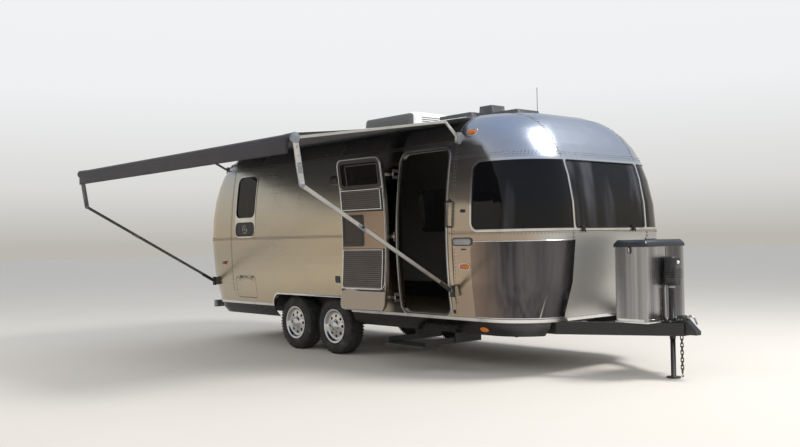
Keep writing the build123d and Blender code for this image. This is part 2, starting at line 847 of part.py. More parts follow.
# Wheel wells: sheet boxes over the wheels, open below and at the arches
with BuildPart() as wheel_wells:
    for side in (-1, 1):
        near = well_inner_y + fit_gap
        box = block((well_ends[0] + fit_gap, well_ends[1] - fit_gap), (side * near, side * half_width),
                    (up(sill_level), up(well_top_level)))
        hollow = block((well_ends[0] + fit_gap + well_thick, well_ends[1] - fit_gap - well_thick),
                       (side * (near + well_thick), side * half_width), (up(0), up(well_top_level - well_thick)))
        with BuildPart(mode=Mode.PRIVATE) as well:
            add(layer(box, hollow))
            add(middle_form(inside), mode=Mode.INTERSECT)
        add(well.part)
finish(wheel_wells.part, "wheel_wells")


# Skirt that wraps under the body's edge, open for the wheels and the tongue
def wrap_form(grow):
    """Solid inside the skirt, drawn in by a distance."""
    with BuildPart() as form:
        for level, tuck in ((sill_level - fit_gap, 4.0), (sill_level - 70.0, 0.3 * skirt_tuck),
                            (skirt_low_level, skirt_tuck)):
            inward = tuck + grow
            half = side_y(sill_level) - inward
            nose = nose_x(sill_level) - inward
            tail = tail_x(sill_level) + inward
            with BuildSketch(Plane.XY.offset(up(level))):
                with Locations(((nose + tail) / 2, 0)):
                    RectangleRounded(nose - tail, 2 * half, corner_radius - inward)
        loft(ruled=True)
    return form.part


skirt_gap_half = 760.0
with BuildPart() as skirt:
    add(layer(wrap_form(0.0), wrap_form(skirt_thick)))
    for side in (-1, 1):
        add(arches[side], mode=Mode.SUBTRACT)
    add(block((nose_x(sill_level) - 700.0, 0), (-skirt_gap_half, skirt_gap_half), (up(0), up(sill_level + 10.0))),
        mode=Mode.SUBTRACT)
    for side in (-1, 1):
        add(block((tail_x(sill_level) - 50.0, tail_x(sill_level) + 200.0),
                  (side * (rail_half_track - 5.0), side * (rail_half_track + rail_width + 5.0)),
                  (up(0), up(sill_level + 10.0))),
            mode=Mode.SUBTRACT)
finish(skirt.part, "skirt")

# Chassis: two long rails, cross members and the tongue that closes at the coupler
rail_levels_z = (up(rail_top_level - rail_depth), up(rail_top_level))
chassis_rear = body_rear + chassis_rear_margin
with BuildPart() as chassis_frame:
    for side in (-1, 1):
        add(block((chassis_rear, chassis_front), (side * rail_half_track, side * (rail_half_track + rail_width)),
                  rail_levels_z))
        with BuildSketch(Plane.XY.offset(rail_levels_z[0])):
            with BuildLine():
                Polyline(
                    (chassis_front - 150.0, side * rail_half_track),
                    (chassis_front - 150.0, side * (rail_half_track + rail_width)),
                    (chassis_front, side * (rail_half_track + rail_width)),
                    (tongue_meet, side * tongue_half),
                    (tongue_meet, side * (tongue_half - rail_width)),
                    (tongue_meet - 75.0, side * (tongue_half - rail_width)),
                    close=True,
                )
            make_face()
        extrude(amount=rail_depth)
    for index in range(int((chassis_front - chassis_rear) / cross_pitch) + 1):
        x = chassis_rear + index * cross_pitch
        add(block((x, x + cross_width), (-rail_half_track, rail_half_track),
                  (rail_levels_z[0] + cross_rise, rail_levels_z[1])))
    add(block((tray_cross_x, tray_cross_x + cross_width), (-tray_cross_half, tray_cross_half),
              (rail_levels_z[0] + cross_rise, rail_levels_z[1])))
    for x in stand_xs:
        for side in (-1, 1):
            with BuildSketch(Plane.XZ.offset(-side * rail_half_track)):
                with BuildLine():
                    Line((x, rail_levels_z[0]), (x, up(stand_hinge_level)))
                trace(line_width=2.4 * stand_deep)
                with Locations((x, up(stand_hinge_level))):
                    Circle(stand_deep)
            extrude(amount=-side * stand_bracket)
            with BuildSketch(Plane.XZ.offset(-side * (rail_half_track - stand_side_gap - stand_width - stand_bracket))):
                with Locations((x, up(stand_hinge_level))):
                    Circle(stand_pin_radius)
            extrude(amount=-side * (stand_side_gap + stand_width + 2 * stand_bracket))
finish(chassis_frame.part, "chassis_frame")

# Coupler: a pressed housing with the ball socket, bolted over the tongue's end
ball_radius = 25.5
socket_deep = 34.0
coupler_half = 42.0
coupler_rear = -150.0
coupler_tip = 62.0
with BuildPart() as coupler:
    with BuildSketch(Plane.XZ.offset(-coupler_half)):
        with BuildLine():
            Polyline(
                (coupler_rear, up(rail_top_level + fit_gap)),
                (coupler_rear, up(rail_top_level + 68.0)),
                (-90.0, up(rail_top_level + 72.0)),
                (20.0, up(ball_level + 62.0)),
                (coupler_tip, up(ball_level + 22.0)),
                (coupler_tip, -14.0),
                (tongue_meet + fit_gap, -14.0),
                (tongue_meet + fit_gap, up(rail_top_level + fit_gap)),
                close=True,
            )
        make_face()
    extrude(amount=2 * coupler_half)
    with Locations((0, 0, -14.0 + socket_deep / 2)):
        Cylinder(ball_radius, socket_deep, mode=Mode.SUBTRACT)
finish(coupler.part, "coupler")

# Jack: tube and motor head on the tongue, leg sliding inside
with BuildPart() as jack_post:
    with Locations((jack_x, 0, up((jack_tube_low + jack_head_low) / 2))):
        Cylinder(jack_tube_radius, jack_head_low - jack_tube_low)
    with BuildSketch(Plane.XY.offset(up(rail_top_level + fit_gap))):
        with Locations((jack_x, 0)):
            RectangleRounded(jack_plate_length, jack_plate_width, 20.0)
    extrude(amount=jack_plate_thick)
    with Locations((jack_x, 0, up((jack_tube_low + jack_head_low) / 2))):
        Cylinder(jack_leg_radius + jack_running_gap, jack_head_low - jack_tube_low, mode=Mode.SUBTRACT)
    with BuildSketch(Plane.XY.offset(up(jack_head_low))):
        with Locations((jack_x + jack_head_ahead, 0)):
            RectangleRounded(jack_head_length, jack_head_width, 40.0)
    extrude(amount=jack_head_high - jack_head_low)
    fillet(jack_post.faces().sort_by(Axis.Z)[-1].edges(), 30.0)
finish(jack_post.part, "jack_post")

with BuildPart() as jack_leg:
    with Locations((jack_x, 0, up((jack_leg_top + jack_foot_thick) / 2))):
        Cylinder(jack_leg_radius, jack_leg_top - jack_foot_thick)
    with Locations((jack_x, 0, up(jack_foot_thick / 2))):
        Cylinder(jack_foot_radius, jack_foot_thick)
finish(jack_leg.part, "jack_leg")

# Safety chain, a plain bar here, hanging from the tongue
with BuildPart() as safety_chain:
    with BuildSketch(Plane.XY.offset(up(chain_low))):
        with Locations((chain_x, chain_y)):
            Circle(chain_radius)
    extrude(amount=rail_top_level - rail_depth - fit_gap - chain_low)
finish(safety_chain.part, "safety_chain")

# Gas-bottle cover with its dark lid, and the two bottles that show from below
cover_centre = ((cover_rear + cover_front) / 2, 0)
with BuildPart() as gas_cover:
    with BuildSketch(Plane.XY.offset(up(cover_low))):
        with Locations(cover_centre):
            RectangleRounded(cover_front - cover_rear, 2 * cover_half, cover_corner)
            RectangleRounded(cover_front - cover_rear - 2 * cover_wall, 2 * (cover_half - cover_wall),
                             cover_corner - cover_wall, mode=Mode.SUBTRACT)
    extrude(amount=cover_high - cover_low)
finish(gas_cover.part, "gas_cover")

with BuildPart() as cover_lid:
    for low, high, taper in ((cover_high + fit_gap, lid_edge_high, 0), (lid_edge_high, lid_high, 45)):
        with BuildSketch(Plane.XY.offset(up(low))):
            with Locations(cover_centre):
                RectangleRounded(cover_front - cover_rear + 2 * lid_over, 2 * (cover_half + lid_over),
                                 cover_corner + lid_over)
        extrude(amount=high - low, taper=taper)
finish(cover_lid.part, "cover_lid")

with BuildPart() as gas_bottles:
    add(block((cover_rear, cover_front), (-cover_half, cover_half),
              (up(rail_top_level + fit_gap), up(rail_top_level + tray_thick))))
    for side in (-1, 1):
        with BuildSketch(Plane.XY.offset(up(rail_top_level + tray_thick))):
            with Locations((cover_centre[0], side * bottle_half_pitch)):
                Circle(bottle_radius)
        extrude(amount=bottle_height)
        fillet(gas_bottles.faces().sort_by(Axis.Z)[-1].edges(), bottle_shoulder)
finish(gas_bottles.part, "gas_bottles")

# Axles: cross tube under the rails, trailing arms and the spindles that carry the wheels
axle_ahead = 150.0
axle_tube = 70.0
arm_y = 815.0
spindle_inner_y = 800.0
spindle_outer_y = wheel_y - 4.0
with BuildPart() as axles:
    for x in (axle_x, axle_x - axle_pitch):
        tube_x = x + axle_ahead
        tube_low = up(rail_top_level - rail_depth) - fit_gap - axle_tube
        add(block((tube_x - axle_tube / 2, tube_x + axle_tube / 2), (-arm_y, arm_y), (tube_low, tube_low + axle_tube)))
        for side in (-1, 1):
            with BuildSketch(Plane.XZ.offset(-side * (arm_y - 15.0))):
                with BuildLine():
                    Line((tube_x, tube_low + axle_tube / 2), (x, up(tyre_radius)))
                trace(line_width=axle_tube)
                with Locations((tube_x, tube_low + axle_tube / 2), (x, up(tyre_radius))):
                    Circle(axle_tube / 2)
            extrude(amount=-side * 30.0)
            with BuildSketch(Plane.XZ.offset(-side * spindle_inner_y)):
                with Locations((x, up(tyre_radius))):
                    Circle(spindle_radius)
            extrude(amount=-side * (spindle_outer_y - spindle_inner_y))
finish(axles.part, "axles")

# Wheels, drawn at the origin with the outer face towards -Y
half_tyre = tyre_width / 2
tread_half = 0.70 * half_tyre
with BuildPart() as tyre:
    with BuildSketch(Plane.XY):
        with BuildLine():
            Polyline(
                (bead_radius, -0.72 * half_tyre),
                (bead_radius + 40.0, -0.94 * half_tyre),
                (0.77 * tyre_radius, -half_tyre),
                (0.93 * tyre_radius, -0.9 * half_tyre),
                (tyre_radius, -tread_half),
                (tyre_radius, tread_half),
                (0.93 * tyre_radius, 0.9 * half_tyre),
                (0.77 * tyre_radius, half_tyre),
                (bead_radius + 40.0, 0.94 * half_tyre),
                (bead_radius, 0.72 * half_tyre),
                close=True,
            )
        make_face()
    revolve(axis=Axis.Y)
with BuildPart() as rim:
    with BuildSketch(Plane.XY):
        with BuildLine():
            Polyline(
                (0.0, -half_tyre + 4.0),
                (0.0, -hub_deep + 20.0),
                (spindle_radius + spindle_gap, -hub_deep + 20.0),
                (spindle_radius + spindle_gap, 60.0),
                (hub_radius, 60.0),
                (hub_radius, -66.0),
                (150.0, -58.0),
                (178.0, -40.0),
                (182.0, 88.0),
                (bead_radius - fit_gap, 94.0),
                (bead_radius - fit_gap, -84.0),
                (rim_lip_radius, -104.0),
                (rim_lip_radius, -110.0),
                (192.0, -108.0),
                (172.0, -76.0),
                (150.0, -72.0),
                (72.0, -82.0),
                (56.0, -half_tyre + 4.0),
                close=True,
            )
        make_face()
    revolve(axis=Axis.Y)
    with BuildSketch(Plane.XZ.offset(half_tyre)):
        with PolarLocations(hole_circle, wheel_holes):
            Circle(hole_radius)
    extrude(amount=-half_tyre - 20.0, mode=Mode.SUBTRACT)
for name, x, side in (
    ("front_right", axle_x, -1),
    ("front_left", axle_x, 1),
    ("rear_right", axle_x - axle_pitch, -1),
    ("rear_left", axle_x - axle_pitch, 1),
):
    place = Location((x, side * wheel_y, up(tyre_radius)), (0, 0, 0 if side < 0 else 180))
    with BuildPart() as placed_tyre:
        add(tyre.part.moved(place))
    finish(placed_tyre.part, "tyre_" + name)
    with BuildPart() as placed_rim:
        add(rim.part.moved(place))
    finish(placed_rim.part, "rim_" + name)

# Entry step: a tread hung on two runners that slide in a housing under the doorway
step_x = (door_rear + door_front) / 2
with BuildPart() as step:
    add(block((step_x - step_half, step_x + step_half), (step_out_y, step_out_y + step_depth),
              (up(step_level - step_thick), up(step_level))))
    for side in (-1, 1):
        outer_x = step_x + side * step_half
        add(block((outer_x, outer_x - side * runner_width), (step_out_y + 40.0, runner_inner_y),
                  (up(step_level), up(step_level + runner_depth))))
finish(step.part, "entry_step")
with BuildPart() as step_housing:
    for side in (-1, 1):
        outer_x = step_x + side * (step_half + fit_gap)
        add(block((outer_x, outer_x + side * housing_plate), (-rail_half_track, housing_outer_y),
                  (up(step_level), up(housing_high))))
    add(block((step_x - step_half - housing_plate, step_x + step_half + housing_plate),
              (housing_outer_y, -rail_half_track), (up(housing_high - housing_bar), up(housing_high))))
finish(step_housing.part, "step_housing")

# Stabiliser legs, folded up under the rails
for x, along in zip(stand_xs, (-1, 1)):
    for side, hand in ((-1, "right"), (1, "left")):
        with BuildPart() as stand:
            outer_y = rail_half_track - stand_side_gap
            foot_x = x + along * stand_arm
            with BuildSketch(Plane.XZ.offset(-side * (outer_y - stand_width))):
                with BuildLine():
                    Line((x, up(stand_hinge_level)), (foot_x, up(stand_hinge_level)))
                trace(line_width=stand_deep)
                with Locations((x, up(stand_hinge_level))):
                    Circle(stand_deep / 2)
                with Locations((x, up(stand_hinge_level))):
                    Circle(stand_pin_radius + stand_pin_gap, mode=Mode.SUBTRACT)
            extrude(amount=-side * stand_width)
            foot_middle = side * (outer_y - stand_width / 2)
            add(block((foot_x, foot_x - along * stand_foot_length),
                      (foot_middle - stand_foot_width / 2, foot_middle + stand_foot_width / 2),
                      (up(stand_hinge_level - stand_deep / 2 - stand_foot_thick),
                       up(stand_hinge_level - stand_deep / 2))))
        finish(stand.part, f"stand_{'front' if along < 0 else 'rear'}_{hand}")

# Rear bumper below the sill
with BuildPart() as bumper:
    bumper_x = tail_x(sill_level) - bumper_reach
    with BuildSketch(Plane.XY.offset(up(rail_top_level - bumper_depth))):
        with Locations((bumper_x + 40.0, 0)):
            RectangleRounded(80.0, 2 * bumper_half, 35.0)
    extrude(amount=bumper_depth)
    for side in (-1, 1):
        add(block((bumper_x + 80.0, chassis_rear - fit_gap),
                  (side * rail_half_track, side * (rail_half_track + rail_width)),
                  (up(rail_top_level - bumper_depth + 10.0), up(rail_top_level - 10.0))))
finish(bumper.part, "bumper")


# Awning, set up: rail on the shoulder, roller, sheet and two sets of arms
def bar(x, points, width, thick):
    """Flat bar across the body, traced along points of distance and height."""
    with BuildPart() as form:
        with BuildSketch(Plane.YZ.offset(x - thick / 2)):
            with BuildLine():
                Polyline(*points)
            trace(line_width=width)
        extrude(amount=thick)
    return form.part


rail_z = roof_z(awning_rail_y)
with BuildPart() as awning_rail:
    with BuildSketch(Plane.YZ.offset(awning_rear)):
        with Locations((awning_rail_y, rail_z)):
            Rectangle(44.0, 50.0, rotation=30.0)
    extrude(amount=awning_front - awning_rear)
    add(middle_form(-fit_gap, awning_rear - beyond, awning_front + beyond), mode=Mode.SUBTRACT)
    add(cap_form(-1, -fit_gap), mode=Mode.SUBTRACT)
finish(awning_rail.part, "awning_rail")

with BuildPart() as awning_roller:
    with BuildSketch(Plane.YZ.offset(awning_rear + arm_thick / 2 + fit_gap)):
        with Locations((roller_y, up(roller_level))):
            Circle(roller_radius)
    extrude(amount=awning_front - awning_rear - arm_thick - 2 * fit_gap)
finish(awning_roller.part, "awning_roller")

fabric_high = rail_z + 20.0
with BuildPart() as awning_fabric:
    with BuildSketch(Plane.YZ.offset(awning_rear + 45.0)):
        with BuildLine():
            Polyline(
                (awning_rail_y - 26.0, fabric_high - 4.0),
                (awning_rail_y - 26.0, fabric_high - 4.0 + fabric_thick),
                (roller_y, up(roller_level + roller_radius + fit_gap) + fabric_thick),
                (roller_y, up(roller_level + roller_radius + fit_gap)),
                close=True,
            )
        make_face()
    extrude(amount=awning_front - awning_rear - 90.0)
finish(awning_fabric.part, "awning_fabric")

cloth_fall = (fabric_high - up(roller_level + roller_radius)) / (awning_rail_y - roller_y)
kink_z = fabric_high - rafter_drop + (rafter_kink_y - awning_rail_y) * cloth_fall
arm_seat_y = -side_y(arm_foot_level) - arm_width
elbow = (arm_elbow_y, up(arm_elbow_level))
roller_at = (roller_y, up(roller_level))
with BuildPart() as awning_arms:
    for x, foot_y, foot_level in arm_sets:
        ends = (x - arm_bracket_half, x + arm_bracket_half)
        add(block(ends, (arm_seat_y, arm_seat_y + beyond),
                  (up(arm_foot_level - arm_bracket_high / 2), up(arm_foot_level + arm_bracket_high / 2))))
        add(block(ends, (foot_y - rafter_width, foot_y + beyond),
                  (up(foot_level - arm_bracket_high / 2), up(foot_level + arm_bracket_high / 2))))
    for skin in (side_trim[1], front_trim[1], rear_trim[1]):
        add(skin, mode=Mode.SUBTRACT)
    for x, foot_y, foot_level in arm_sets:
        add(bar(x, [(arm_seat_y, up(arm_foot_level)), elbow, roller_at], arm_width, arm_thick))
        add(bar(x, [(foot_y, up(foot_level)), (rafter_kink_y, kink_z), roller_at], rafter_width, arm_thick))
        add(bar(x, [elbow, roller_at], arm_head_width, arm_thick))
        with BuildSketch(Plane.YZ.offset(x - arm_thick / 2)):
            with Locations(roller_at):
                Circle(arm_ring_radius)
        extrude(amount=arm_thick)
finish(awning_arms.part, "awning_arms")

# Rooftop cooler and vents, seated on the roof's curve
roof_seat = side_trim[1]
with BuildPart() as cooler:
    with BuildSketch(Plane.XY.offset(up(roof_level) - 30.0)):
        with Locations((cooler_x, 0)):
            RectangleRounded(cooler_length, cooler_width, 120.0)
    extrude(amount=cooler_height + 30.0, taper=6)
    fillet(cooler.faces().sort_by(Axis.Z)[-1].edges(), 60.0)
    add(roof_seat, mode=Mode.SUBTRACT)
finish(cooler.part, "cooler")

with BuildPart() as roof_vents:
    for x, y, length, width, height in vents:
        with BuildSketch(Plane.XY.offset(up(roof_level) - vent_sunk)):
            with Locations((x, y)):
                RectangleRounded(length, width, vent_corner)
        extrude(amount=height + vent_sunk, taper=vent_taper)
    add(roof_seat, mode=Mode.SUBTRACT)
    add(front_trim[1], mode=Mode.SUBTRACT)
finish(roof_vents.part, "roof_vents")

antenna_foot = up(roof_level)
with BuildPart() as antenna:
    with BuildSketch(Plane.XY.offset(antenna_foot - antenna_base_high)):
        with Locations((antenna_x, 0)):
            Circle(antenna_base_radius)
    extrude(amount=2 * antenna_base_high, taper=15)
    with BuildSketch(Plane.XY.offset(antenna_foot)):
        with Locations((antenna_x, 0)):
            Circle(antenna_whip_radius)
    extrude(amount=up(antenna_high) - antenna_foot)
    add(front_trim[1], mode=Mode.SUBTRACT)
finish(antenna.part, "antenna")

# Lamps and small fittings, seated on the skin
lamp_skins = [
    (middle_form(-lamp_proud), side_trim[1]),
    (cap_form(1, -lamp_proud, -panel_gap), front_trim[1]),
    (cap_form(-1, -lamp_proud, -panel_gap), rear_trim[1]),
]
fitting_skins = [
    (middle_form(-fitting_proud), side_trim[1]),
    (cap_form(1, -fitting_proud, -panel_gap), front_trim[1]),
]
with BuildPart() as porch_lamp:
    for piece in cut_out(lamp_skins[0], [side_outline(-1, porch_lamp_row)]):
        add(piece)
finish(porch_lamp.part, "porch_lamp")

with BuildPart() as marker_lamps:
    for piece in cut_out(lamp_skins[1], [side_outline(side, row) for side in (-1, 1) for row in amber_markers]):
        add(piece)
finish(marker_lamps.part, "marker_lamps")

with BuildPart() as tail_lamps:
    for piece in cut_out(lamp_skins[2], [side_outline(side, row) for side in (-1, 1) for row in red_markers]):
        add(piece)
    with BuildPart(mode=Mode.PRIVATE) as lamp_prisms:
        with BuildSketch(Plane.YZ.offset(body_rear - beyond)):
            with Locations(*[(side * tail_lamp_y, up((tail_lamp_low + tail_lamp_high) / 2)) for side in (-1, 1)]):
                RectangleRounded(tail_lamp_width, tail_lamp_high - tail_lamp_low, 50.0)
        extrude(amount=corner_radius)
    for piece in cut_out(lamp_skins[2], [lamp_prisms.part]):
        add(piece)
finish(tail_lamps.part, "tail_lamps")

with BuildPart() as wall_fittings:
    for row in door_side_fittings:
        for piece in cut_out(fitting_skins[0 if row[0] < front_seam else 1], [side_outline(-1, row)]):
            add(piece)
    for piece in cut_out((middle_form(-panel_proud), side_trim[1]), [side_panel(-fit_gap)]):
        add(piece)
finish(wall_fittings.part, "wall_fittings")

# Grab handle ahead of the doorway
handle_x = -2105.0
handle_low = 1540.0
handle_high = 1810.0
handle_out = 48.0
handle_radius = 10.0
with BuildPart() as grab_handle:
    with BuildLine() as handle_path:
        FilletPolyline(
            (handle_x, -side_y(handle_low) - 1.5, up(handle_low)),
            (handle_x, -side_y(handle_low) - handle_out, up(handle_low)),
            (handle_x, -side_y(handle_low) - handle_out, up(handle_high)),
            (handle_x, -side_y(handle_high) - 1.5, up(handle_high)),
            radius=20.0,
        )
    with BuildSketch(Plane(origin=handle_path.line @ 0, z_dir=handle_path.line % 0)):
        Circle(handle_radius)
    sweep()
finish(grab_handle.part, "grab_handle")

# Cabinets: galley, lockers over it, lounge seats in the front and the bed in the rear
room = wall + fit_gap
floor_level = sill_level + floor_thick + fit_gap
lounge_base = lounge_level - cushion_thick
bed_base = bed_level - cushion_thick


def lounge(depth, low, high):
    """Front seats between two levels, with the way in left open."""
    with BuildPart() as form:
        add(plan_prism(depth, low, high))
        add(block((lounge_rear, body_front), across, (up(low), up(high))), mode=Mode.INTERSECT)
        add(block((lounge_rear, lounge_rear + 450.0), (-lounge_gap_half, lounge_gap_half), (up(low), up(high))),
            mode=Mode.SUBTRACT)
        add(cap_form(1, depth), mode=Mode.INTERSECT)
    return form.part


def bed(depth, low, high):
    """Rear bed between two levels."""
    with BuildPart() as form:
        add(plan_prism(depth, low, high))
        add(block((body_rear, bed_front), across, (up(low), up(high))), mode=Mode.INTERSECT)
        add(cap_form(-1, depth), mode=Mode.INTERSECT)
    return form.part


galley_ends = (galley_rear, galley_front)
with BuildPart() as cabinets:
    for low, high, face_y in ((floor_level, counter_level, galley_face_y), (locker_low, locker_high, locker_face_y)):
        with BuildPart(mode=Mode.PRIVATE) as cabinet:
            add(middle_form(room))
            add(block(galley_ends, (face_y, half_width), (up(low), up(high))), mode=Mode.INTERSECT)
        add(cabinet.part)
    add(lounge(room, floor_level, lounge_base))
    add(bed(room, floor_level, bed_base))
finish(cabinets.part, "cabinets")

with BuildPart() as cushions:
    add(lounge(room + 4.0, lounge_base + fit_gap, lounge_level))
    add(bed(room + 4.0, bed_base + fit_gap, bed_level))
finish(cushions.part, "cushions")
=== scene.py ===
"""Travel caravan with its awning set out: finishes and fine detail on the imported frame.

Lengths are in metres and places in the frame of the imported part: the origin is the middle of the
towing ball, +X points forwards, +Y to the left side and +Z up. The door side is -Y.
"""

from __future__ import annotations

import json
import logging
import math
from dataclasses import dataclass, field
from enum import Enum
from typing import Callable, Iterable, Iterator, Sequence

import bmesh
import bpy
from bmesh.types import BMesh
from bpy.types import NodeSocket
from mathutils import Matrix, Vector
from mathutils.bvhtree import BVHTree

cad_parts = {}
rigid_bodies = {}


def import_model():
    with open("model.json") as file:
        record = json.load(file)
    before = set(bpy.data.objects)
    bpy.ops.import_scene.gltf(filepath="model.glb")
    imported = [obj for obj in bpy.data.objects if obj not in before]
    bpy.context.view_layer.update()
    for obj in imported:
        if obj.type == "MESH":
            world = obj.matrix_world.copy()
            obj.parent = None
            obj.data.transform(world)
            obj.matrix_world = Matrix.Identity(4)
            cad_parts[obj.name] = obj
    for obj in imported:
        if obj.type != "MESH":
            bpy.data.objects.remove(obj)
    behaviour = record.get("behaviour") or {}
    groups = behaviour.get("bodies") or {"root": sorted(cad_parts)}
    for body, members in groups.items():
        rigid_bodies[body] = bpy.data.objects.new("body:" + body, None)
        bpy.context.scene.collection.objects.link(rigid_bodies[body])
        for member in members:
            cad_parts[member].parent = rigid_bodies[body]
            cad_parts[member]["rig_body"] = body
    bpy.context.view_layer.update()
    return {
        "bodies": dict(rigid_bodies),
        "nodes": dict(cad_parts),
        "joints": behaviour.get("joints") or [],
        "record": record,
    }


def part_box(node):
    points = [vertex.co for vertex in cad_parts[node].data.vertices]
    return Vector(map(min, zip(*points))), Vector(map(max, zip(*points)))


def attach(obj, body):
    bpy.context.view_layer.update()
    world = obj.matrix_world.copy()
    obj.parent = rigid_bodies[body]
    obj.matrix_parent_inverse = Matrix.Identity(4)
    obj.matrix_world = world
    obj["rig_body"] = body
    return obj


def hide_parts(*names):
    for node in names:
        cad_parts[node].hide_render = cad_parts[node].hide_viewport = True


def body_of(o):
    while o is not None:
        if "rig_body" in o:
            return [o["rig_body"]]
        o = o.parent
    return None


log = logging.getLogger("caravan")

Colour = tuple[float, float, float]
Range = tuple[float, float]
Outline = list[tuple[float, float]]
Profile = Sequence[tuple[float, float]]
Row = tuple[float, ...]
Place = tuple[Vector, Vector]
Ray = tuple[Sequence[float], Sequence[float]]

GROUND = -0.450
FRONT_SEAM = -2.070
REAR_SEAM = -6.590
SILL = 0.550
BELT = 1.470
ROOF_SEAM = 2.445
HALF_WIDTH = 1.220
DOOR_ENDS = (-2.930, -2.170)
WHEEL_XS = {"front": -4.320, "rear": -5.170}
HANDS = (("right", -1), ("left", 1))
QUARTER = math.pi / 2
X_AXIS = Vector((1.0, 0.0, 0.0))
Y_AXIS = Vector((0.0, 1.0, 0.0))
Z_AXIS = Vector((0.0, 0.0, 1.0))


def up(level: float) -> float:
    """Height in the frame of a level above the ground."""
    return GROUND + level


def within(value: float, low: float, high: float) -> float:
    """A value kept between two others."""
    return min(max(value, low), high)


def side_ray(x: float, z: float, side: int, clear: float = 1.7) -> Ray:
    """Ray straight into a side of the body, from a distance off its middle plane."""
    return (x, side * clear, z), (0.0, -side, 0.0)


def linked(name: str, data: bpy.types.ID) -> bpy.types.Object:
    """Object of some data, in the scene."""
    made = bpy.data.objects.new(name, data)
    bpy.context.scene.collection.objects.link(made)
    return made


# Shader maths.


class Value:
    """A number that varies over a surface, combined with Python's own operators."""

    def __init__(self, nodes: Nodes, socket: NodeSocket) -> None:
        """Wraps an output socket.

        Args:
            nodes: the nodes that it belongs to.
            socket: the socket.
        """
        self.nodes = nodes
        self.socket = socket

    def maths(self, operation: str, *inputs: Value | float) -> Value:
        """Adds one Math node.

        Args:
            operation: the node's operation.
            inputs: its inputs, in order.

        Returns:
            Its result.
        """
        node = self.nodes.node("ShaderNodeMath", {"operation": operation}, dict(enumerate(inputs)))
        return Value(self.nodes, node.outputs[0])

    def __add__(self, other: Value | float) -> Value:
        """Sum."""
        return self.maths("ADD", self, other)

    __radd__ = __add__

    def __sub__(self, other: Value | float) -> Value:
        """Difference."""
        return self.maths("SUBTRACT", self, other)

    def __rsub__(self, other: float) -> Value:
        """Difference from a number."""
        return self.maths("SUBTRACT", other, self)

    def __mul__(self, other: Value | float) -> Value:
        """Product."""
        return self.maths("MULTIPLY", self, other)

    __rmul__ = __mul__

    def __mod__(self, step: float) -> Value:
        """Remainder past whole steps."""
        return self.maths("FLOORED_MODULO", self, step)

    def __abs__(self) -> Value:
        """Size without sign."""
        return self.maths("ABSOLUTE", self)

    def larger(self, other: Value) -> Value:
        """The larger of two values."""
        return self.maths("MAXIMUM", self, other)

    def zigzag(self, step: float) -> Value:
        """Even zigzag between 0 and 1, one for each step."""
        return abs(self % step * (2.0 / step) - 1.0)

    def ramp(self, low: float, high: float) -> Value:
        """0 up to a low value, 1 from a high one, and smooth between."""
        node = self.nodes.node(
            "ShaderNodeMapRange", {"interpolation_type": "SMOOTHSTEP"},
            {"Value": self, "From Min": low, "From Max": high},
        )
        return Value(self.nodes, node.outputs[0])


class Nodes:
    """A node tree being filled."""

    def __init__(self, tree: bpy.types.NodeTree) -> None:
        """Empties the tree.

        Args:
            tree: the tree.
        """
        self.tree = tree
        tree.nodes.clear()

    def node(self, kind: str, settings: dict[str, object] | None = None,
             inputs: dict[int | str, object] | None = None) -> bpy.types.Node:
        """Adds a node.

        Args:
            kind: its type.
            settings: its properties, which are set first.
            inputs: the values or links of its sockets.

        Returns:
            The node.
        """
        made = self.tree.nodes.new(kind)
        for key, value in (settings or {}).items():
            setattr(made, key, value)
        for key, value in (inputs or {}).items():
            self.feed(made.inputs[key], value)
        return made

    def feed(self, socket: NodeSocket, value: object) -> None:
        """Links or sets one socket."""
        if isinstance(value, Value):
            value = value.socket
        if isinstance(value, NodeSocket):
            self.tree.links.new(value, socket)
        elif socket.type == "RGBA" and len(value) == 3:
            socket.default_value = (*value, 1.0)
        else:
            socket.default_value = value

    def mix(self, share: Value | float, first: object, second: object) -> NodeSocket:
        """Colour between two colours, by the share of the second."""
        node = self.node("ShaderNodeMix", {"data_type": "RGBA"}, {0: share, 6: first, 7: second})
        return node.outputs[2]


class Shader(Nodes):
    """A material being made, with one Principled shader."""

    def __init__(self, name: str) -> None:
        """Starts the material.

        Args:
            name: its name.
        """
        self.material = bpy.data.materials.new(name)
        self.material.use_nodes = True
        super().__init__(self.material.node_tree)
        self.surface = self.node("ShaderNodeBsdfPrincipled")
        self.node("ShaderNodeOutputMaterial", {}, {0: self.surface.outputs[0]})
        self.place = self.node("ShaderNodeTexCoord")

    def set(self, **inputs: object) -> None:
        """Feeds sockets of the surface, named with underscores for spaces."""
        for key, value in inputs.items():
            self.feed(self.surface.inputs[key.replace("_", " ")], value)

    def axis(self, index: int, source: str = "Object") -> Value:
        """One coordinate of the surface's own place."""
        node = self.node("ShaderNodeSeparateXYZ", {}, {0: self.place.outputs[source]})
        return Value(self, node.outputs[index])

    def noise(self, scale: Colour, detail: float = 2.0, roughness: float = 0.5) -> Value:
        """Noise with a scale of its own along each axis."""
        spot = self.node("ShaderNodeMapping", {}, {"Vector": self.place.outputs["Object"], "Scale": scale})
        node = self.node("ShaderNodeTexNoise", {}, {
            "Vector": spot.outputs[0], "Scale": 1.0, "Detail": detail, "Roughness": roughness})
        return Value(self, node.outputs[0])

    def bump(self, height: Value, depth: float) -> None:
        """Raises the surface by a height field of a depth in metres."""
        node = self.node("ShaderNodeBump", {}, {"Height": height, "Distance": depth, "Strength": 1.0})
        self.set(Normal=node.outputs[0])


# Finishes.


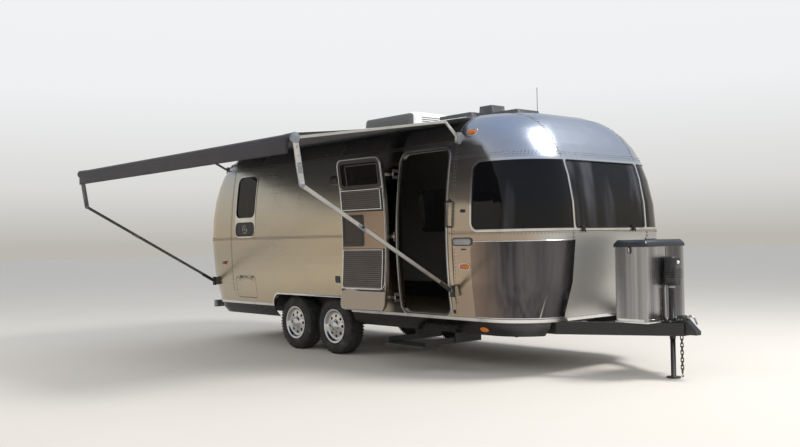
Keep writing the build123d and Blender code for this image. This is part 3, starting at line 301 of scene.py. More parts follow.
@dataclass(frozen=True)
class Finish:
    """What all finishes share: a name, a colour, a roughness and how metallic it is."""

    name: str
    colour: Colour
    rough: float = 0.4
    metal: float = 0.0

    def shade(self, factor: float) -> Colour:
        """The finish's colour, darker by a factor."""
        return tuple(factor * part for part in self.colour)

    def made(self) -> bpy.types.Material:
        """The finish as a material."""
        shader = Shader(self.name)
        shader.set(Roughness=self.rough, Metallic=self.metal)
        self.lay(shader)
        return shader.material

    def lay(self, shader: Shader) -> None:
        """Lays the finish on a shader."""
        shader.set(Base_Color=self.colour)


@dataclass(frozen=True)
class PolishedSheet(Finish):
    """Polished aluminium sheet with slight waves and tarnish, painted reflections in warm, tan and pale low
    tones, and painted shade beside the door's hinge.
    """

    # Painted reflections: warm ground tones on the door side, tan toward the front seam and a paler foot low
    # down.
    warm_reflection: Colour = (0.585, 0.490, 0.350)
    tan_reflection: Colour = (0.50, 0.385, 0.285)
    foot: Colour = (0.60, 0.585, 0.54)
    dull: Colour = (0.42, 0.41, 0.39)
    wave: float = 0.006
    # Painted shade: how dark the door side turns just behind the doorway, beside the door's hinge.
    hinge_shade: float = 0.0
    side_range: Range = (0.85, 1.16)
    high_range: Range = (up(1.05), up(2.40))
    tan_range: Range = (-2.25, -1.95)
    dull_range: Range = (-1.20, -0.98)
    dull_top: Range = (up(1.30), up(1.55))
    dull_rough: float = 0.24
    # Where that painted shade starts and where it fades out, going toward the rear.
    hinge_shade_start: Range = (2.925, 2.940)
    hinge_shade_end: Range = (3.06, 3.24)

    def lay(self, shader: Shader) -> None:
        """Lays the finish on a shader."""
        forward, height, rear = shader.axis(0), shader.axis(2), shader.axis(0) * -1.0
        tone = shader.noise((0.30, 0.45, 0.55), 0.0)
        haze = shader.noise((1.3, 1.3, 1.9), 5.0, 0.6)
        lines = shader.noise((2.0, 2.0, 55.0), 1.0)
        streak = shader.noise((9.0, 9.0, 0.35), 3.0)
        # Painted reflection: the door side takes the warm ground tones, most of all low down, turning tan
        # toward the front seam; low down everywhere the sheet turns toward the paler foot colour.
        low = 1.0 - height.ramp(*self.high_range)
        side = (shader.axis(1) * -1.0).ramp(*self.side_range)
        warm_reflection = shader.mix(forward.ramp(*self.tan_range), self.warm_reflection, self.tan_reflection)
        colour = shader.mix(side * (low * 0.7 + 0.3), shader.mix(low * 0.8, self.colour, self.foot), warm_reflection)
        share = tone.ramp(0.36, 0.66) * 0.30 + haze.ramp(0.45, 0.72) * 0.14 + streak.ramp(0.5, 0.75) * 0.08
        dulled = forward.ramp(*self.dull_range) * (1.0 - height.ramp(*self.dull_top)) * self.dull_rough
        # Painted shade: a dark band on the door side just behind the doorway, beside the door's hinge.
        beside = rear.ramp(*self.hinge_shade_start) * (1.0 - rear.ramp(*self.hinge_shade_end)) * side * self.hinge_shade
        shader.set(Base_Color=shader.mix(beside, shader.mix(share, colour, self.dull), self.shade(0.05)),
                   Roughness=self.rough + (haze - 0.5) * 0.16 + (lines - 0.5) * 0.03 + dulled)
        shader.bump(tone * 1.6, self.wave)


@dataclass(frozen=True)
class StreakedSteel(Finish):
    """Mirror sheet whose waves show as upright dark and pale streaks, painted into its colour as
    reflections.
    """

    dark: Colour = (0.10, 0.10, 0.105)
    pitch: float = 3.2
    wave: float = 0.004

    def lay(self, shader: Shader) -> None:
        """Lays the finish on a shader."""
        broad = shader.noise((self.pitch, self.pitch, 0.10), 1.0)
        fine = shader.noise((self.pitch * 8, self.pitch * 8, 0.20), 2.0)
        scratch = shader.noise((160.0, 160.0, 3.0), 2.0)
        # Painted reflections: the sheet's waves as upright dark and pale streaks.
        share = broad.ramp(0.38, 0.60) * 0.80 + fine.ramp(0.35, 0.7) * 0.25
        shader.set(Base_Color=self.edged(shader, shader.mix(share, self.colour, self.dark)),
                   Roughness=self.rough + scratch * 0.08)
        shader.bump(broad + fine * 0.06, self.wave)

    def edged(self, shader: Shader, colour: NodeSocket) -> NodeSocket:
        """The streaks' colour, changed near the sheet's ends where a finish does so."""
        return colour


@dataclass(frozen=True)
class GuardSheet(StreakedSteel):
    """Dark guard sheet with painted reflections: paler and warm toward its rear end, darker toward its front
    end, and one upright painted highlight line.
    """

    warm_reflection: Colour = (0.34, 0.255, 0.20)
    bright: Colour = (0.80, 0.76, 0.68)
    warm_range: Range = (1.30, 1.85)
    dark_range: Range = (-1.30, -1.04)
    # Painted highlight: a line of the bright colour at this distance across, of this width, fading out
    # upward over this range.
    highlight_line: float = 0.895
    highlight_width: float = 0.010
    highlight_top: Range = (0.12, 0.42)

    def edged(self, shader: Shader, colour: NodeSocket) -> NodeSocket:
        """The streaks' colour with painted reflections: warm at the rear end, dark at the front one and a
        painted highlight along the upright line.
        """
        # Painted reflections: warm toward the rear end, dark toward the front end; the upright line is a
        # painted highlight, strongest low down.
        rear = (shader.axis(0) * -1.0).ramp(*self.warm_range)
        front = shader.axis(0).ramp(*self.dark_range)
        line = 1.0 - abs(abs(shader.axis(1)) - self.highlight_line).ramp(0.0, self.highlight_width)
        low = 1.0 - shader.axis(2).ramp(*self.highlight_top)
        toned = shader.mix(front * 0.7, shader.mix(rear * 0.85, colour, self.warm_reflection), self.dark)
        return shader.mix(line * low * 0.6, toned, self.bright)


@dataclass(frozen=True)
class SatinMetal(Finish):
    """Satin metal with fine drawn lines and grime in patches."""

    line: Colour = (260.0, 260.0, 18.0)
    depth: float = 0.0002

    def lay(self, shader: Shader) -> None:
        """Lays the finish on a shader."""
        patch = shader.noise((5.0, 5.0, 5.0), 5.0, 0.65)
        line = shader.noise(self.line, 2.0)
        shader.set(Base_Color=shader.mix(patch.ramp(0.42, 0.78) * 0.5, self.colour, self.shade(0.55)),
                   Roughness=self.rough + (patch - 0.5) * 0.2 + (line - 0.5) * 0.08)
        shader.bump(line, self.depth)


@dataclass(frozen=True)
class Moulded(Finish):
    """Moulded plastic or paint: fine grain, dust and dulled patches."""

    grain: float = 320.0
    depth: float = 0.0003
    dust: Colour = (0.30, 0.28, 0.25)
    share: float = 0.25

    def lay(self, shader: Shader) -> None:
        """Lays the finish on a shader."""
        patch = shader.noise((3.0, 3.0, 4.0), 6.0, 0.65)
        grain = shader.noise((self.grain,) * 3, 2.0)
        shader.set(Base_Color=shader.mix(patch.ramp(0.48, 0.85) * self.share, self.colour, self.dust),
                   Roughness=self.rough + (patch - 0.5) * 0.22)
        shader.bump(grain + patch * 0.5, self.depth)


@dataclass(frozen=True)
class TintedGlass(Finish):
    """Dark window glass, a little see-through, with faint upright streaks."""

    clear: float = 0.07
    streak: Colour = (0.026, 0.027, 0.034)
    gloss: float = 0.30

    def lay(self, shader: Shader) -> None:
        """Lays the finish on a shader."""
        streak = shader.noise((4.0, 4.0, 0.25), 2.0)
        haze = shader.noise((2.0, 2.0, 1.0), 3.0)
        shader.set(Base_Color=shader.mix(streak.ramp(0.52, 0.70) * 0.9, self.colour, self.streak),
                   Roughness=self.rough + haze * 0.04, Alpha=1.0 - self.clear,
                   Specular_IOR_Level=self.gloss)


@dataclass(frozen=True)
class Lens(Finish):
    """Ribbed lamp lens."""

    rib: float = 0.006

    def lay(self, shader: Shader) -> None:
        """Lays the finish on a shader."""
        ribs = shader.axis(2).zigzag(self.rib)
        shader.set(Base_Color=shader.mix(ribs * 0.6, self.colour, self.shade(0.5)), Coat_Weight=0.3,
                   Coat_Roughness=0.08)
        shader.bump(ribs, 0.0008)


@dataclass(frozen=True)
class Woven(Finish):
    """Woven cloth, its threads on the piece's own UV map in metres, with faded patches."""

    thread: float = 0.0035
    faded: Colour = (0.2, 0.2, 0.2)

    def lay(self, shader: Shader) -> None:
        """Lays the finish on a shader."""
        warp, weft = (shader.axis(index, "UV").zigzag(self.thread) for index in (0, 1))
        patch = shader.noise((0.9, 0.9, 0.9), 5.0, 0.6)
        share = patch.ramp(0.35, 0.75) * 0.6 + (warp + weft) * 0.12
        shader.set(Base_Color=shader.mix(share, self.colour, self.faded), Sheen_Weight=0.15)
        shader.bump(warp + weft, 0.0005)


@dataclass(frozen=True)
class Upholstery(Finish):
    """Seat cloth with its weave on Object coordinates."""

    faded: Colour = (0.4, 0.38, 0.35)

    def lay(self, shader: Shader) -> None:
        """Lays the finish on a shader."""
        weave = shader.noise((240.0, 240.0, 240.0), 2.0)
        patch = shader.noise((3.0, 3.0, 3.0), 3.0)
        share = weave * 0.6 + patch * 0.3
        shader.set(Base_Color=shader.mix(share, self.colour, self.faded), Sheen_Weight=0.2)
        shader.bump(weave, 0.0008)


@dataclass(frozen=True)
class Timber(Finish):
    """Lacquered wood whose grain runs along the axis with the smallest scale."""

    dark: Colour = (0.20, 0.12, 0.07)
    grain: Colour = (38.0, 38.0, 1.6)

    def lay(self, shader: Shader) -> None:
        """Lays the finish on a shader."""
        grain = shader.noise(self.grain, 4.0, 0.6)
        pore = shader.noise(tuple(5.0 * part for part in self.grain), 2.0)
        shader.set(Base_Color=shader.mix(grain.ramp(0.35, 0.7), self.colour, self.dark),
                   Roughness=self.rough + pore * 0.12, Coat_Weight=0.2)
        shader.bump(grain + pore * 0.3, 0.0006)


@dataclass(frozen=True)
class TyreRubber(Finish):
    """Worn tyre rubber, dusty in patches."""

    dust: Colour = (0.17, 0.155, 0.135)

    def lay(self, shader: Shader) -> None:
        """Lays the finish on a shader."""
        patch = shader.noise((8.0, 8.0, 8.0), 6.0, 0.7)
        fine = shader.noise((280.0, 280.0, 280.0), 2.0)
        shader.set(Base_Color=shader.mix(patch.ramp(0.45, 0.8) * 0.5, self.colour, self.dust),
                   Roughness=self.rough + patch * 0.15)
        shader.bump(fine, 0.0005)


class Coat(Enum):
    """The finishes that the caravan's pieces take."""

    # The skin takes the painted reflections and the painted shade beside the door's hinge.
    SKIN = PolishedSheet("polished_sheet", (0.66, 0.69, 0.74), 0.25, 1.0, hinge_shade=0.92)
    # The door sheet takes the painted reflections too, with a duller warm tone.
    DOORSKIN = PolishedSheet("door_sheet", (0.50, 0.48, 0.47), 0.30, 1.0, warm_reflection=(0.44, 0.38, 0.34))
    # Painted shade: the skirt is polished sheet made nearly black, as it stands in shade under the body.
    SKIRT = PolishedSheet("skirt_sheet_painted_shade", (0.11, 0.11, 0.117), 0.28, 1.0, warm_reflection=(0.062, 0.059, 0.062),
                          tan_reflection=(0.062, 0.059, 0.062), foot=(0.10, 0.10, 0.104), dull=(0.05, 0.05, 0.05))
    # Painted reflections: the streaks of the cover and the guard, and the guard's warm, dark and highlight
    # tones.
    COVER = StreakedSteel("cover_steel", (0.60, 0.59, 0.60), 0.22, 1.0, dark=(0.13, 0.13, 0.14), pitch=3.6)
    GUARD = GuardSheet("guard_steel", (0.24, 0.225, 0.225), 0.20, 1.0, dark=(0.055, 0.052, 0.060), pitch=2.0)
    TRIM = SatinMetal("bright_trim", (0.80, 0.80, 0.80), 0.24, 1.0)
    SEAM = SatinMetal("seam_metal", (0.10, 0.095, 0.09), 0.5, 0.6)
    RIVET = SatinMetal("rivet_metal", (0.20, 0.19, 0.18), 0.35, 1.0)
    ARM = SatinMetal("arm_metal", (0.60, 0.60, 0.58), 0.38, 1.0)
    # Painted shade: a darker copy of the arm metal, for the rear arm.
    SHADED_ARM = SatinMetal("arm_metal_painted_shade", (0.20, 0.20, 0.195), 0.45, 1.0)
    CAST = SatinMetal("arm_casting", (0.30, 0.32, 0.36), 0.45, 0.9)
    CHROME = SatinMetal("wheel_chrome", (0.72, 0.72, 0.73), 0.12, 1.0)
    ZINC = SatinMetal("zinc_plate", (0.42, 0.43, 0.44), 0.38, 1.0)
    LINKS = SatinMetal("chain_steel", (0.10, 0.095, 0.09), 0.55, 0.8)
    JAMB = SatinMetal("jamb_metal", (0.50, 0.49, 0.48), 0.36, 1.0)
    LOUVRE = SatinMetal("louvre_metal", (0.17, 0.155, 0.15), 0.45, 0.6)
    GLASS = TintedGlass("window_tint", (0.0045, 0.0045, 0.006), 0.03, streak=(0.060, 0.062, 0.072))
    NET = TintedGlass("screen_net", (0.010, 0.009, 0.009), 0.6, clear=0.25, streak=(0.016, 0.014, 0.013),
                      gloss=0.1)
    BLACK = Moulded("black_moulding", (0.020, 0.020, 0.022), 0.42)
    LIDBLACK = Moulded("lid_moulding", (0.022, 0.025, 0.032), 0.32, dust=(0.08, 0.09, 0.11))
    CHASSIS = Moulded("chassis_paint", (0.016, 0.016, 0.017), 0.45, dust=(0.08, 0.075, 0.07), share=0.4)
    WELL = Moulded("well_lining", (0.03, 0.03, 0.031), 0.7, dust=(0.10, 0.09, 0.08), share=0.4)
    WHITE = Moulded("white_moulding", (0.80, 0.80, 0.78), 0.33, dust=(0.55, 0.53, 0.48), share=0.5)
    GREY = Moulded("grey_moulding", (0.13, 0.13, 0.13), 0.5)
    DARKGREY = Moulded("dark_moulding", (0.07, 0.072, 0.078), 0.5)
    GASKET = Moulded("gasket_rubber", (0.012, 0.012, 0.013), 0.55, share=0.15)
    LINING = Moulded("cabin_lining", (0.34, 0.325, 0.30), 0.7, dust=(0.26, 0.245, 0.22))
    REVEAL = Moulded("doorway_reveal", (0.125, 0.118, 0.125), 0.45, dust=(0.18, 0.17, 0.17), share=0.5)
    BEIGE = Moulded("door_lining", (0.36, 0.245, 0.165), 0.5, dust=(0.30, 0.20, 0.135), share=0.6)
    BROWN = Moulded("door_pocket", (0.052, 0.040, 0.033), 0.55, dust=(0.10, 0.078, 0.062), share=0.5)
    COUNTER = Moulded("counter_top", (0.30, 0.29, 0.28), 0.25, dust=(0.42, 0.41, 0.39), share=0.6)
    PORCELAIN = Moulded("bottle_paint", (0.75, 0.75, 0.73), 0.3)
    AMBER = Lens("amber_lens", (0.62, 0.17, 0.012), 0.16)
    RED = Lens("red_lens", (0.30, 0.010, 0.010), 0.16)
    # Painted shade: the cloth is given a near-black colour, darker than its own, for the shade on its
    # underside.
    CLOTH = Woven("awning_cloth", (0.016, 0.013, 0.0165), 0.85, faded=(0.030, 0.0255, 0.030))
    EDGE = Woven("awning_edge", (0.62, 0.62, 0.60), 0.8, faded=(0.50, 0.50, 0.48))
    SEAT = Upholstery("seat_cloth", (0.24, 0.23, 0.22), 0.9)
    TIMBER = Timber("cabinet_timber", (0.30, 0.20, 0.12), 0.35)
    BOARD = Timber("floor_board", (0.22, 0.16, 0.11), 0.45, dark=(0.11, 0.08, 0.05), grain=(1.6, 38.0, 38.0))
    RUBBER = TyreRubber("tyre_rubber", (0.020, 0.020, 0.021), 0.70)


# Shapes.


def toward(origin: Vector, along: Vector, out: Vector = Z_AXIS) -> Matrix:
    """Matrix with its Z along one direction and its Y as near another as it can be.

    Args:
        origin: where it stands.
        along: direction of Z.
        out: direction that Y leans to.

    Returns:
        The matrix.
    """
    z = along.normalized()
    if abs(z.dot(out.normalized())) > 0.999:
        out = z.orthogonal()
    x = out.cross(z).normalized()
    return Matrix.Translation(origin) @ Matrix((x, z.cross(x), z)).transposed().to_4x4()


def placed(spot: Sequence[float], turn: float = 0.0, axis: str = "Z") -> Matrix:
    """Matrix that turns a shape about an axis of its own and moves it to a spot."""
    return Matrix.Translation(spot) @ Matrix.Rotation(turn, 4, axis)


def ease(shape: BMesh, edges: list[bmesh.types.BMEdge], offset: float, segments: int) -> None:
    """Rounds some edges of a shape."""
    bmesh.ops.bevel(shape, geom=edges, offset=offset, offset_type="OFFSET", affect="EDGES",
                    segments=segments, profile=0.5, material=-1, clamp_overlap=True)


def block(x: Range, y: Range, z: Range, bevel: float = 0.002, segments: int = 2) -> BMesh:
    """Box between two values along each axis.

    Args:
        x: its ends along X, in either order.
        y: its ends along Y.
        z: its ends along Z.
        bevel: rounding of its edges, or 0 for none.
        segments: faces round each edge.

    Returns:
        The box.
    """
    shape = bmesh.new()
    ends = [sorted(pair) for pair in (x, y, z)]
    middle = Matrix.Translation([sum(pair) / 2 for pair in ends])
    size = Matrix.Diagonal([pair[1] - pair[0] for pair in ends] + [1.0])
    bmesh.ops.create_cube(shape, size=1.0, matrix=middle @ size)
    if bevel:
        ease(shape, shape.edges[:], bevel, segments)
    return shape


def sheet_metal(width: float, height: float, corner: float, thick: float, hole: float = 0.0,
                bevel: float = 0.0, steps: int = 6) -> BMesh:
    """Rounded rectangle round the origin in XY, thick along +Z, whole or as a band.

    Args:
        width: size along X.
        height: size along Y.
        corner: radius of its corners.
        thick: thickness.
        hole: width of the band, or 0 for a whole plate.
        bevel: rounding of its outer edges.
        steps: faces round each corner.

    Returns:
        The plate.
    """
    shape = bmesh.new()
    bmesh.ops.create_grid(shape, x_segments=1, y_segments=1, size=0.5,
                          matrix=Matrix.Diagonal((width, height, 1.0, 1.0)))
    if corner:
        bmesh.ops.bevel(shape, geom=shape.verts[:], offset=corner, offset_type="OFFSET", affect="VERTICES",
                        segments=steps, profile=0.5, material=-1)
    if hole:
        bmesh.ops.inset_region(shape, faces=shape.faces[:], thickness=hole, depth=0.0, use_boundary=True,
                               use_even_offset=True)
        inner = min(shape.faces, key=lambda face: face.calc_center_median().length)
        bmesh.ops.delete(shape, geom=[inner], context="FACES_ONLY")
    grown = bmesh.ops.extrude_face_region(shape, geom=shape.faces[:])["geom"]
    moved = [item for item in grown if isinstance(item, bmesh.types.BMVert)]
    bmesh.ops.translate(shape, verts=moved, vec=(0.0, 0.0, thick))
    if bevel:
        rim = [edge for edge in shape.edges if edge.calc_face_angle(0.0) > 0.8
               and all(abs(vert.co.z - thick) < 1e-6 for vert in edge.verts)]
        ease(shape, rim, bevel, 2)
    bmesh.ops.recalc_face_normals(shape, faces=shape.faces[:])
    return shape


def turned(profile: Profile, steps: int = 24) -> BMesh:
    """Profile of points, each a radius and a height, spun about Z with a number of faces round it."""
    shape = bmesh.new()
    verts = [shape.verts.new((radius, 0.0, height)) for radius, height in profile]
    edges = [shape.edges.new(pair) for pair in zip(verts, verts[1:])]
    bmesh.ops.spin(shape, geom=verts + edges, cent=(0, 0, 0), axis=(0, 0, 1), angle=2 * math.pi, steps=steps,
                   use_merge=True)
    bmesh.ops.remove_doubles(shape, verts=shape.verts[:], dist=1e-5)
    bmesh.ops.recalc_face_normals(shape, faces=shape.faces[:])
    return shape


def swept(section: Outline, path: Sequence[Matrix], closed: bool = False) -> BMesh:
    """Section carried along frames, joined into one solid bar or ring.

    Args:
        section: points in each frame's X and Y.
        path: the frames.
        closed: whether the last joins the first.

    Returns:
        The bar.
    """
    shape = bmesh.new()
    verts = [shape.verts.new(path[0] @ Vector((x, y, 0.0))) for x, y in section]
    first = shape.faces.new(verts)
    start = edges = first.edges[:]
    for before, after in zip(path, path[1:]):
        grown = bmesh.ops.extrude_edge_only(shape, edges=edges)["geom"]
        moved = [item for item in grown if isinstance(item, bmesh.types.BMVert)]
        kept = set(moved)
        edges = [item for item in grown if isinstance(item, bmesh.types.BMEdge) and set(item.verts) <= kept]
        bmesh.ops.transform(shape, matrix=after @ before.inverted(), verts=moved)
    if closed:
        bmesh.ops.delete(shape, geom=[first], context="FACES_ONLY")
        bmesh.ops.bridge_loops(shape, edges=list(start) + list(edges))
    else:
        bmesh.ops.contextual_create(shape, geom=edges)
    bmesh.ops.recalc_face_normals(shape, faces=shape.faces[:])
    return shape


def ring_section(radius: float, sides: int = 10, flat: float = 1.0) -> Outline:
    """Points of a circle, or of an oval where flat isn't 1."""
    turns = [2 * math.pi * index / sides for index in range(sides)]
    return [(radius * math.cos(turn), flat * radius * math.sin(turn)) for turn in turns]


def band_section(width: float, proud: float, sunk: float = 0.002) -> Outline:
    """Points of a low strip with eased edges: width across, proud above the surface and sunk below it."""
    half = width / 2
    return [(-half, -sunk), (half, -sunk), (half, 0.5 * proud), (0.7 * half, proud), (-0.7 * half, proud),
            (-half, 0.5 * proud)]


def frames(points: Sequence[Vector], outs: Sequence[Vector] | Vector, closed: bool = False) -> list[Matrix]:
    """Frames along points: Z along the line, and Y toward one outward direction or each point's own."""
    line = [Vector(point) for point in points]
    if isinstance(outs, Vector):
        outs = [outs] * len(line)
    found = []
    for index, point in enumerate(line):
        before = line[index - 1] if index or closed else point
        after = line[(index + 1) % len(line)] if index + 1 < len(line) or closed else point
        found.append(toward(point, after - before, outs[index]))
    return found


def strip(trail: Sequence[Place], width: float, proud: float, sunk: float = 0.002,
          closed: bool = False) -> BMesh:
    """Low band laid along a trail.

    Args:
        trail: places and their outward directions.
        width: width across.
        proud: height above the surface.
        sunk: depth below it.
        closed: whether the last place joins the first.

    Returns:
        The band.
    """
    path = frames([spot for spot, _ in trail], [out for _, out in trail], closed)
    return swept(band_section(width, proud, sunk), path, closed)


def rod(points: Sequence[Sequence[float]], radius: float, sides: int = 10) -> BMesh:
    """Round bar along points, with a number of sides."""
    line = [Vector(point) for point in points]
    side = (line[1] - line[0]).orthogonal()
    return swept(ring_section(radius, sides), frames(line, side))


def eased(points: Sequence[Sequence[float]], radius: float, steps: int = 5) -> list[Vector]:
    """Path whose corners are rounded into curves that start at most a radius away."""
    line = [Vector(point) for point in points]
    found = [line[0]]
    for before, corner, after in zip(line, line[1:], line[2:]):
        reach = min(radius, 0.45 * (corner - before).length, 0.45 * (after - corner).length)
        enter = corner + (before - corner).normalized() * reach
        leave = corner + (after - corner).normalized() * reach
        for index in range(steps + 1):
            share = index / steps
            found.append(enter.lerp(corner, share).lerp(corner.lerp(leave, share), share))
    return [*found, line[-1]]


def rounded(x: Range, y: Range, corner: float, steps: int = 6) -> Outline:
    """Points round a rounded rectangle, counter-clockwise.

    Args:
        x: its low and high ends along the first axis.
        y: its low and high ends along the second.
        corner: radius of its corners.
        steps: runs round each corner.

    Returns:
        The points.
    """
    found: Outline = []
    centres = [(x[1] - corner, y[1] - corner), (x[0] + corner, y[1] - corner),
               (x[0] + corner, y[0] + corner), (x[1] - corner, y[0] + corner)]
    for quarter, (across, high) in enumerate(centres):
        for index in range(steps + 1):
            turn = QUARTER * (quarter + index / steps)
            found.append((across + corner * math.cos(turn), high + corner * math.sin(turn)))
    return found


def divided(points: Outline, step: float, closed: bool = True) -> Outline:
    """Outline with points added so that no run is longer than a step."""
    found: Outline = []
    for first, second in zip(points, points[1:] + (points[:1] if closed else [])):
        count = max(1, math.ceil(math.dist(first, second) / step))
        for share in (index / count for index in range(count)):
            found.append(tuple(start + share * (end - start) for start, end in zip(first, second)))
    return found if closed else [*found, points[-1]]


def flat_cloth(width: float, length: float, columns: int, rows: int) -> BMesh:
    """Unit grid round the origin, whose UV map gives the cloth's flat size in metres."""
    shape = bmesh.new()
    uvs = shape.loops.layers.uv.new("UVMap")
    bmesh.ops.create_grid(shape, x_segments=columns, y_segments=rows, size=0.5)
    for face in shape.faces:
        for loop in face.loops:
            loop[uvs].uv = ((loop.vert.co.x + 0.5) * width, (loop.vert.co.y + 0.5) * length)
    return shape


def spaced(trail: Sequence[Place], pitch: float) -> Iterator[Place]:
    """Places at an even pitch along a trail of places and outward directions."""
    due = pitch / 2
    for (first, out_first), (second, out_second) in zip(trail, trail[1:]):
        run = (second - first).length
        while run and due <= run:
            yield first.lerp(second, due / run), out_first.lerp(out_second, due / run).normalized()
            due += pitch
        due -= run


@dataclass
class Piece:
    """A piece being put together from shapes, each with one of its finishes."""

    name: str
    coats: list[Coat]
    shape: BMesh = field(default_factory=bmesh.new)

    def add(self, part: BMesh, coat: Coat | None = None, at: Matrix | None = None,
            bend: Callable[[Vector], Vector] | None = None) -> Piece:
        """Takes a shape into the piece and frees it.

        Args:
            part: the shape.
            coat: its finish, or None for the piece's first one.
            at: where it goes.
            bend: function that gives each vertex its last place.

        Returns:
            The piece.
        """
        if at is not None:
            bmesh.ops.transform(part, matrix=at, verts=part.verts[:])
        if bend is not None:
            for vert in part.verts:
                vert.co = bend(vert.co)
        return self.stamp(part, [Matrix()], coat)

    def stamp(self, part: BMesh, places: Iterable[Matrix], coat: Coat | None = None) -> Piece:
        """Takes copies of a shape at some places and frees it.

        Args:
            part: the shape.
            places: where its copies go.
            coat: its finish, or None for the piece's first one.

        Returns:
            The piece.
        """
        for face in part.faces:
            face.material_index = self.coats.index(coat or self.coats[0])
        mesh = bpy.data.meshes.new("stamp")
        part.to_mesh(mesh)
        part.free()
        for at in places:
            mesh.transform(at)
            self.shape.from_mesh(mesh)
            mesh.transform(at.inverted())
        bpy.data.meshes.remove(mesh)
        return self


@dataclass
class Workshop:
    """The frame, the finishes and the surfaces that pieces are seated on."""

    frame: dict[str, object]
    made: dict[Coat, bpy.types.Material] = field(default_factory=dict)
    count: int = 0

    def __post_init__(self) -> None:
        """Collects the surfaces that rays are cast at."""
        self.slots = {row["node"]: row["material_slot"] for row in self.frame["record"]["subparts"]}
        shell = ("right_wall", "doorway_panel", "left_wall", "roof_panel", "front_cap", "rear_cap")
        self.shell = [name for name in shell if name in self.frame["nodes"]]
        self.skin = self.surface(self.shell)
        self.outside = self.surface([*self.shell, "window_frames", "front_glass", "side_glass",
                                     "stone_guards", "door_frame", "sill_rail"])

    def surface(self, names: Sequence[str]) -> BVHTree:
        """Surface of some nodes to cast rays at."""
        joined = bmesh.new()
        for name in names:
            joined.from_mesh(self.frame["nodes"][name].data)
        tree = BVHTree.FromBMesh(joined)
        joined.free()
        return tree

    def paint(self, coat: Coat) -> bpy.types.Material:
        """Material of a finish, made once."""
        if coat not in self.made:
            self.made[coat] = coat.value.made()
        return self.made[coat]

    def seat(self, start: Sequence[float], way: Sequence[float], tree: BVHTree | None = None,
             reach: float = 2.0) -> Place | None:
        """Where a ray from outside meets a surface.

        Args:
            start: where the ray starts.
            way: its direction.
            tree: the surface, or None for the skin.
            reach: how far it goes.

        Returns:
            The place and its outward direction, or None.
        """
        way = Vector(way).normalized()
        spot, normal, _, _ = (tree or self.skin).ray_cast(Vector(start), way, reach)
        if spot is None:
            return None
        return spot, normal if normal.dot(way) < 0 else -normal

    def seats(self, rays: Iterable[Ray], tree: BVHTree | None = None) -> list[Place]:
        """Where the rays of a run meet a surface, those that miss left out."""
        return [place for place in (self.seat(*ray, tree) for ray in rays) if place is not None]

    def finish(self, piece: Piece, body: str, slot: str, smooth: float = 38.0,
               subdivide: int = 0) -> bpy.types.Object:
        """Makes a piece an object that rides on a body.

        Args:
            piece: the piece.
            body: the body.
            slot: the record's material slot; not used.
            smooth: angle in degrees past which an edge stays sharp.
            subdivide: levels of subdivision.

        Returns:
            The object.
        """
        mesh = bpy.data.meshes.new(piece.name)
        piece.shape.to_mesh(mesh)
        piece.shape.free()
        for coat in piece.coats:
            mesh.materials.append(self.paint(coat))
        mesh.shade_smooth()
        mesh.set_sharp_from_angle(angle=math.radians(smooth))
        made = linked(piece.name, mesh)
        if subdivide:
            smoother = made.modifiers.new("smoother", "SUBSURF")
            smoother.levels = smoother.render_levels = subdivide
        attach(made, body)
        self.count += 1
        log.info("%s: %d faces on %s", piece.name, len(mesh.polygons), body)
        return made

    def dress(self, coat: Coat, *names: str) -> None:
        """Gives CAD nodes a finish."""
        for name in names:
            materials = self.frame["nodes"][name].data.materials
            materials.clear()
            materials.append(self.paint(coat))

    def shaded(self, name: str, *coats: Coat, angle: float = 30.0,
               inner: Callable[[Vector, Vector], bool] | None = None) -> None:
        """Replaces a node by a merged copy of itself that shades smoothly.

        Args:
            name: the node.
            coats: its finish, and a second one where inner is given.
            angle: sharper edges than this stay sharp, in degrees.
            inner: test of a face's middle and normal for the second finish.
        """
        source = self.frame["nodes"][name]
        piece = Piece(f"{name}_dressed", list(coats))
        piece.shape.from_mesh(source.data)
        bmesh.ops.remove_doubles(piece.shape, verts=piece.shape.verts[:], dist=3e-5)
        for face in piece.shape.faces:
            face.material_index = int(inner is not None and inner(face.calc_center_median(), face.normal))
        made = self.finish(piece, body_of(source)[0], self.slots[name], angle)
        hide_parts(name)


# Sub-assemblies.


